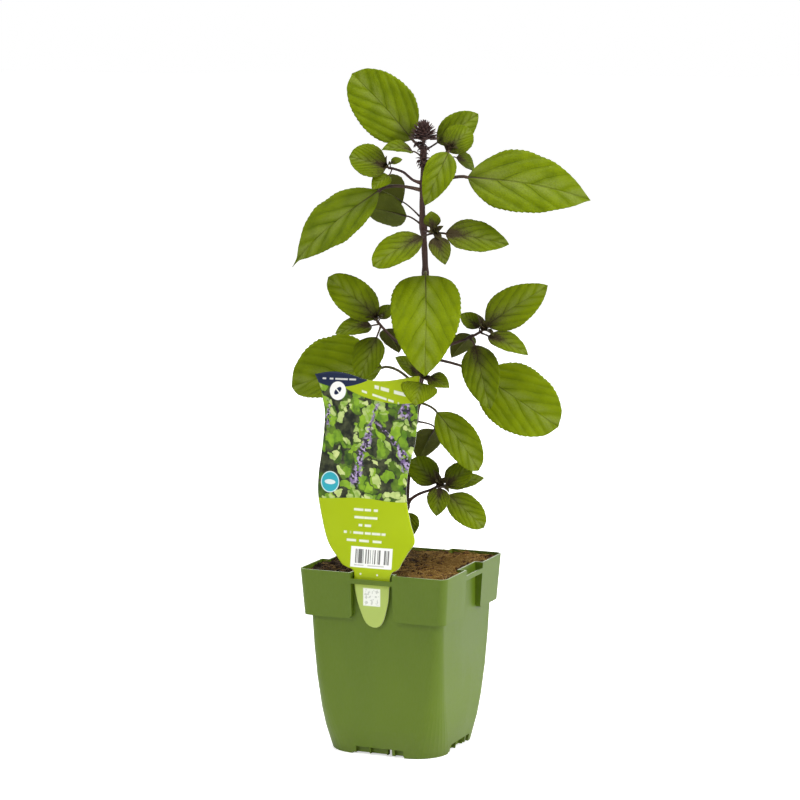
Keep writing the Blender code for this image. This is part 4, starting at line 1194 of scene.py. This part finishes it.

# %% [markdown]
# ## Pot
# The nursery pot is thin injection-moulded polypropylene: satin green, a little uneven where the melt
# flowed, with fine scuffs and dust low down. Its colour is painted lighter towards the foot: painted
# light, standing for light bounced up from the white floor. CAD has its true shape.

# %% Pot material
def pot_material():
    material, tree = new_material("pot_plastic_skin", roughness=0.4, specular_ior_level=0.30)
    clouds = place_group(tree, mottle, Scale=22.0, Fine_Scale=700.0, Stretch=0.35)
    z = place(tree)[1][2]
    # The slow mottle is the uneven melt; the ramp over the lowest 11 cm is painted light from the floor.
    melt_and_floor_light = clouds["Slow"] * 0.5 + z.ramp(0.0, 0.11, 0.9, 0.0)
    body = mixed(melt_and_floor_light, (0.080, 0.134, 0.002), (0.100, 0.160, 0.004))
    body = mixed(clouds["Fine"] * 0.08, body, (0.16, 0.21, 0.06))
    dust = z.ramp(0.0, 0.03, 1.0, 0.0) * clouds["Slow"] * 0.14
    body = mixed(dust, body, (0.20, 0.19, 0.12))
    roughness = clouds["Slow"].ramp(0.0, 1.0, 0.36, 0.44) + clouds["Fine"] * 0.05
    return dressed(material, body, clouds["Fine"] * 0.3 + clouds["Slow"], 0.12, 0.0004, roughness)


coat("pot", pot_material())

# %% [markdown]
# ## Label
# The label is a die-cut plastic film: its tongue slides behind the bridge bar, the rest leans back and
# curls a little. We sweep the cut outline over the same leaning surface as the CAD part, finely enough
# for a smooth edge, and give it a front, a back and a rim.

# %% Label shape
LABEL_BOTTOM = 0.1095
LABEL_FACE = 0.0607
LABEL_LEAN = 0.16
LABEL_BOW = 0.003
BAR_TOP = 0.1490
LABEL_HALF_THICKNESS = 0.00022
LABEL_SHIFT = 0.1                 # keeps the sideways UV number above zero
LABEL_CURL_RUN, LABEL_BEND_RUN = 0.05, 0.01   # heights over which the film starts to curl and to lean
LABEL_WAVE_POWER = 8              # how closely the wave keeps to the top
LABEL_EDGES = (                   # height above the tongue's end, left edge, right edge
    (0, 0, .003), (.0015, -.004, .006), (.0045, -.007, .0085), (.0095, -.0095, .0105),
    (.022, -.014, .0135), (.035, -.0165, .0145), (.0455, -.0176, .016), (.049, -.027, .0215),
    (.055, -.033, .0246), (.0635, -.0404, .0293), (.072, -.045, .0338), (.087, -.0502, .0285),
    (.104, -.0545, .024), (.12, -.0552, .0233), (.135, -.054, .025), (.15, -.053, .0284),
    (.17, -.053, .029), (.182, -.0558, .0287), (.1925, -.059, .0285), (.202, -.064, .029),
)
LABEL_TOP_WAVE = (-0.0012, 0.0018, 0.0008, -0.0030, -0.0036, -0.0012, 0.0025)   # left to right


def label_point(x, height, across):
    """Place a point of the label: behind the bar it stands upright, above the rim it leans back."""
    z = LABEL_BOTTOM + height
    above = max(z - BAR_TOP, 0.0)
    curl = LABEL_BOW * (2 * across - 1) ** 2 * min(above / LABEL_CURL_RUN, 1.0)
    lean = LABEL_LEAN * above * min(above / LABEL_BEND_RUN, 1.0)
    return x, -LABEL_FACE + lean + curl, z


LABEL_ROWS, LABEL_COLUMNS = 170, 41
edges = smooth_curve(LABEL_EDGES, 400)
order = np.linspace(0, LABEL_EDGES[-1][0], LABEL_ROWS)
left_edge = np.interp(order, edges[:, 0], edges[:, 1])
right_edge = np.interp(order, edges[:, 0], edges[:, 2])
wave_at = np.linspace(0, 1, len(LABEL_TOP_WAVE))
wave = smooth_curve(np.stack([wave_at, LABEL_TOP_WAVE], 1), 80)
points, uv = [], []
for height, left, right in zip(order, left_edge, right_edge):
    for column in range(LABEL_COLUMNS):
        share = column / (LABEL_COLUMNS - 1)
        rise = np.interp(share, wave[:, 0], wave[:, 1])
        rise *= (height / LABEL_EDGES[-1][0]) ** LABEL_WAVE_POWER
        spot = label_point(left + share * (right - left), height + rise, share)
        points.append(spot)
        uv.append((spot[0] + LABEL_SHIFT, spot[2]))
points, uv = np.array(points), np.array(uv)
grid = points.reshape(LABEL_ROWS, LABEL_COLUMNS, 3)
forward = unit(np.cross(np.gradient(grid, axis=1), np.gradient(grid, axis=0))) * LABEL_HALF_THICKNESS
film = closed_sheet(grid + forward, grid - forward, uv, np.zeros((len(uv), 3)), rim_material=1)
print("label, mm:", [round(1000 * float(size)) for size in np.ptp(points, axis=0)])

# %% [markdown]
# ## Label print
# The print is drawn by formulas in metres on the label: `x` to the side, `z` up. There is a picture of
# flowering basil, a plain dark blue field, a lime banner and a lime foot, and thin broken bars where a
# real label has its text. The bars, stripes and discs carry no letters and no mark.

# %% Label print
LIME_PRINT = (0.350, 0.455, 0.000)
NAVY = (0.003, 0.011, 0.045)
WHITE = (0.86, 0.87, 0.83)
TEAL = (0.030, 0.36, 0.44)
PALE_TEAL = (0.55, 0.75, 0.75)
SOFT_EDGE = 0.0002                # half the width of a printed edge
MARK, MARK_RADIUS = (-0.0418, 0.2980), 0.0075
BADGE, BADGE_RADIUS = (-0.0439, 0.2244), 0.0078
STRIPE_CARD, STRIPES = (-0.0209, 0.0155, 0.1579, 0.1745), (-0.0176, 0.0128, 0.1612, 0.1726)
SPECK_CARD, SPECKS = (-0.0086, 0.0064, 0.1270, 0.1415), (-0.0076, 0.0054, 0.1280, 0.1405)
TEXT_BARS = (                     # centre, size, tilt
    ((0.0045, 0.3003), (0.027, 0.0028), -0.20), ((-0.0020, 0.2944), (0.036, 0.0017), -0.26),
    ((-0.0100, 0.2040), (0.021, 0.0019), 0.0), ((-0.0100, 0.1978), (0.021, 0.0019), 0.0),
    ((-0.0100, 0.1916), (0.011, 0.0019), 0.0), ((-0.0100, 0.1854), (0.037, 0.0019), 0.0),
    ((-0.0100, 0.1792), (0.031, 0.0019), 0.0), ((-0.0410, 0.3076), (0.031, 0.0013), 0.02),
)
STRIPE_FOOT_BAR = ((-0.0025, 0.1597), (0.030, 0.0010))
SMALL_DOTS = ((-0.0111, 0.1528), (0.0036, 0.1528))


def over(signal):
    """One where the signal is above zero."""
    return signal.ramp(-SOFT_EDGE, SOFT_EDGE)


def within(signal, low, high, soft=SOFT_EDGE):
    """One between two values, zero outside."""
    return signal.ramp(low - soft, low + soft) * signal.ramp(high - soft, high + soft, 1.0, 0.0)


def panel(x, z, box, soft=SOFT_EDGE):
    """One inside a rectangle: left, right, foot and top."""
    return within(x, box[0], box[1], soft) * within(z, box[2], box[3], soft)


def disc(x, z, centre, radius, flat=1.0):
    """One inside a circle or a flattened circle."""
    a, b = x - centre[0], (z - centre[1]) * flat
    distance = (a * a + b * b).math("SQRT")
    return distance.ramp(radius - SOFT_EDGE, radius + SOFT_EDGE, 1.0, 0.0)


def broken_bar(x, z, centre, size, tilt=0.0):
    """A thin bar with a few gaps, where a real label has a line of text."""
    a = x - centre[0]
    b = z - centre[1] - a * tilt
    words = texture("Noise", combined(a * 260.0, centre[1] * 1000), scale=1.0, detail=0.0)
    return (within(a, -size[0] / 2, size[0] / 2) * within(b, -size[1] / 2, size[1] / 2, 0.0004)
            * words.ramp(0.36, 0.42))


LEAF_LAYERS = (                   # size of the cells, seed, darkest and lightest green, share shown
    (62.0, 1.0, (0.016, 0.050, 0.004), (0.110, 0.200, 0.014), 0.85),
    (84.0, 4.0, (0.055, 0.150, 0.008), (0.260, 0.440, 0.024), 0.52),
    (112.0, 9.0, (0.180, 0.340, 0.025), (0.560, 0.640, 0.250), 0.36),
)
FLOWER_SPIKES = (                 # foot: x, z, top z, lean, bend, half width
    (-0.0215, 0.2240, 0.2900, 0.16, 1.6, 0.0040), (0.0225, 0.2360, 0.2740, -0.10, -16.0, 0.0048),
    (-0.0480, 0.2700, 0.2900, -0.20, 0.0, 0.0026), (0.0180, 0.2790, 0.2960, 0.10, 0.0, 0.0050),
)


def picture(x, z):
    """Flowering basil, out of focus: three layers of leaves, dark gaps and lilac flower spikes."""
    drift = texture("Noise", combined(x, z), scale=75.0, detail=3.0)
    drift_2 = texture("Noise", combined(x, z, 5.0), scale=75.0, detail=3.0)
    shade = texture("Noise", combined(x, z, 3.0), scale=160.0, detail=3.0)
    body = mixed(shade.ramp(0.35, 0.7), (0.007, 0.010, 0.005), (0.060, 0.070, 0.030))
    for scale, seed, dark, light, share in LEAF_LAYERS:
        turned = combined(x * 1.4 + z * 0.9 + drift * 0.028, z - x * 0.6 + drift_2 * 0.028, seed * 0.01)
        reach = texture("Voronoi", turned, feature="F1", scale=scale)
        pick = split(texture("Voronoi", turned, output=1, feature="F1", scale=scale).socket)
        leaf = mixed((pick[0] * 0.7 + shade.ramp(0.35, 0.65) * 0.5).least(1.0), dark, light)
        leaf = mixed(reach.ramp(0.0, 0.10, 0.35, 0.0), leaf, light)
        shown = reach.ramp(0.46, 0.56, 1.0, 0.0) * pick[1].ramp(share - 0.02, share + 0.02, 1.0, 0.0)
        body = mixed(shown, body, leaf)
    dot = split(texture("Voronoi", combined(x, z, 7.0), output=1, feature="F1",
                              scale=560.0).socket)
    petals = mixed(dot[0], (0.115, 0.065, 0.190), (0.500, 0.400, 0.620))
    petals = mixed(dot[1].ramp(0.66, 0.76), petals, (0.030, 0.026, 0.040))
    for foot_x, foot_z, top_z, slope, bend, wide in FLOWER_SPIKES:
        rise = z - foot_z
        centre = rise * slope + rise * rise * bend + foot_x
        ragged = abs(x - centre + (drift - 0.5) * 0.010 + (shade - 0.5) * 0.004)
        taper = z.ramp(foot_z, top_z, 1.0, 0.35) * wide
        flower = (ragged - taper).ramp(-0.0014, 0.0012, 1.0, 0.0) * within(z, foot_z, top_z, 0.003)
        body = mixed(flower * dot[2].ramp(0.20, 0.30), body, petals)
    return body


def label_print_material():
    material, tree = new_material("label_print", roughness=0.34, specular_ior_level=0.25)
    u, z = uv_of(tree)
    x = u - LABEL_SHIFT
    foot_edge = (x * 95.0).math("SINE") * -0.0011 + x * 0.012 + 0.2125
    body = mixed(over(z - foot_edge), LIME_PRINT, picture(x, z))
    banner_edge = (x - 0.012) * (x - 0.012) * 4.7 + 0.2903
    body = mixed(over(z - banner_edge) * over(x + 0.0350), body, LIME_PRINT)
    navy_edge = (x + 0.043) * (x + 0.043) * 8.5 + 0.3012
    body = mixed(over(z - navy_edge) * over((x + 0.0160) * -1.0), body, NAVY)
    turned = (MARK[0] + MARK[1], MARK[1] - MARK[0])
    oval = disc(x + z, z - x, turned, 0.0058, flat=1.9)
    slit = (abs(x + z - turned[0]) * -1.0).ramp(-0.0009, -0.0005)
    whites = disc(x, z, MARK, MARK_RADIUS) * oval.flip().most(slit)
    body = mixed(disc(x, z, MARK, MARK_RADIUS), body, NAVY)
    body = mixed(disc(x, z, BADGE, BADGE_RADIUS + 0.0008), body, PALE_TEAL)
    body = mixed(disc(x, z, BADGE, BADGE_RADIUS), body, TEAL)
    body = mixed(disc(x, z, BADGE, 0.0050, flat=2.6) * 0.75, body, WHITE)
    for bar in TEXT_BARS:
        whites = whites.most(broken_bar(x, z, *bar) * 0.75)
    whites = whites.most(panel(x, z, STRIPE_CARD))
    whites = whites.most(panel(x, z, SPECK_CARD, 0.0004) * 0.9)
    for dot in SMALL_DOTS:
        whites = whites.most(disc(x, z, dot, 0.0008) * 0.8)
    body = mixed(z.ramp(0.140, 0.150, 0.45, 0.0), body, (0.42, 0.52, 0.24))
    body = mixed(whites.least(1.0), body, WHITE)
    stripe = texture("WhiteNoise", combined((x * 1900.0).math("FLOOR"), 0.0))
    dark = stripe.math("GREATER_THAN", 0.5) * panel(x, z, STRIPES) * 0.88
    body = mixed(dark, body, (0.06, 0.06, 0.055))
    body = mixed(broken_bar(x, z, *STRIPE_FOOT_BAR) * 0.5, body, (0.2, 0.2, 0.19))
    specks = texture("Noise", combined(x, z), scale=420.0, detail=1.0).ramp(0.50, 0.62)
    body = mixed(specks * panel(x, z, SPECKS) * 0.35, body, (0.10, 0.12, 0.08))
    clouds = place_group(tree, mottle, Scale=45.0, Fine_Scale=900.0)
    return dressed(material, body, clouds["Slow"], 0.1, 0.0003, clouds["Slow"].ramp(0.0, 1.0, 0.28, 0.40))


def label_back_material():
    material, tree = new_material("label_back", roughness=0.45)
    clouds = place_group(tree, mottle, Scale=45.0, Fine_Scale=900.0)
    body = mixed(clouds["Fine"] * 0.3, (0.74, 0.76, 0.70), (0.66, 0.69, 0.60))
    return dressed(material, body, clouds["Slow"], 0.1, 0.0003)


label = make_piece("printed_label", [film], (label_print_material(), label_back_material()),
                   ("plant_label",))
print("label faces:", len(label.data.polygons))

# %% [markdown]
# ## Floor and light
# A wide white floor and a white sky make a plain, bright studio. One big soft lamp from the right lights
# the pot's side, one from the front left fills the label and the leaves, one keeps the back from going
# dark, and one from above gives the leaves their sheen.

# %% Floor
FLOOR_GLOW = 0.55                 # only the camera sees it


def floor_material():
    material, tree = new_material("pale_floor", roughness=0.7, emission_color=(1.0, 1.0, 1.0, 1.0))
    shader = tree.nodes["Principled BSDF"]
    clouds = place_group(tree, mottle, Scale=3.0, Fine_Scale=60.0)
    body = mixed(clouds["Slow"] * 0.2, (0.90, 0.90, 0.90), (0.88, 0.88, 0.88))
    tree.links.new(body, shader.inputs["Base Color"])
    rays = tree.nodes.new("ShaderNodeLightPath")
    feed(shader.inputs["Emission Strength"], Signal(rays.outputs["Is Camera Ray"]) * FLOOR_GLOW)
    return material


floor_mesh = bpy.data.meshes.new("studio_floor")
floor_mesh.from_pydata([(-30, -30, 0), (30, -30, 0), (30, 30, 0), (-30, 30, 0)], [], [(0, 1, 2, 3)])
floor_mesh.materials.append(floor_material())
floor = bpy.data.objects.new("studio_floor", floor_mesh)
scene.collection.objects.link(floor)

# %% [markdown]
# The camera sees a pure white sky. Mirrored rays see three quarters of it and all others half, so that
# the plastic isn't washed out.

# %% Lights
SKY_STRENGTH = 0.50
MIRRORED_SHARE = 0.5              # how far mirrored rays go from that to pure white
LAMPS = (                         # name, place, height it looks at, size, watts
    ("lamp_right", (2.2, 0.1, 1.3), 0.25, 1.0, 42), ("lamp_front", (-1.3, -2.1, 1.9), 0.3, 0.9, 26),
    ("lamp_back", (-0.9, 2.3, 1.5), 0.3, 1.2, 24), ("lamp_top", (0.2, -0.2, 2.6), 0.3, 1.2, 36),
)

world = bpy.data.worlds.new("studio_sky")
world.use_nodes = True
scene.world = world
sky = world.node_tree
soft, bright = sky.nodes["Background"], sky.nodes.new("ShaderNodeBackground")
for background, strength in ((soft, SKY_STRENGTH), (bright, 1.0)):
    background.inputs["Color"].default_value = (1.0, 1.0, 1.0, 1.0)
    background.inputs["Strength"].default_value = strength
rays = sky.nodes.new("ShaderNodeLightPath")
blend = sky.nodes.new("ShaderNodeMixShader")
mirrored = Signal(rays.outputs["Is Glossy Ray"]) * MIRRORED_SHARE
feed(blend.inputs[0], Signal(rays.outputs["Is Camera Ray"]).most(mirrored))
sky.links.new(soft.outputs[0], blend.inputs[1])
sky.links.new(bright.outputs[0], blend.inputs[2])
sky.links.new(blend.outputs[0], sky.nodes["World Output"].inputs["Surface"])
for name, place_at, aim, size, power in LAMPS:
    light = bpy.data.lights.new(name, "AREA")
    light.size, light.energy = size, power
    lamp = bpy.data.objects.new(name, light)
    lamp.location = place_at
    lamp.rotation_euler = (Vector((0, 0, aim)) - Vector(place_at)).to_track_quat("-Z", "Y").to_euler()
    scene.collection.objects.link(lamp)
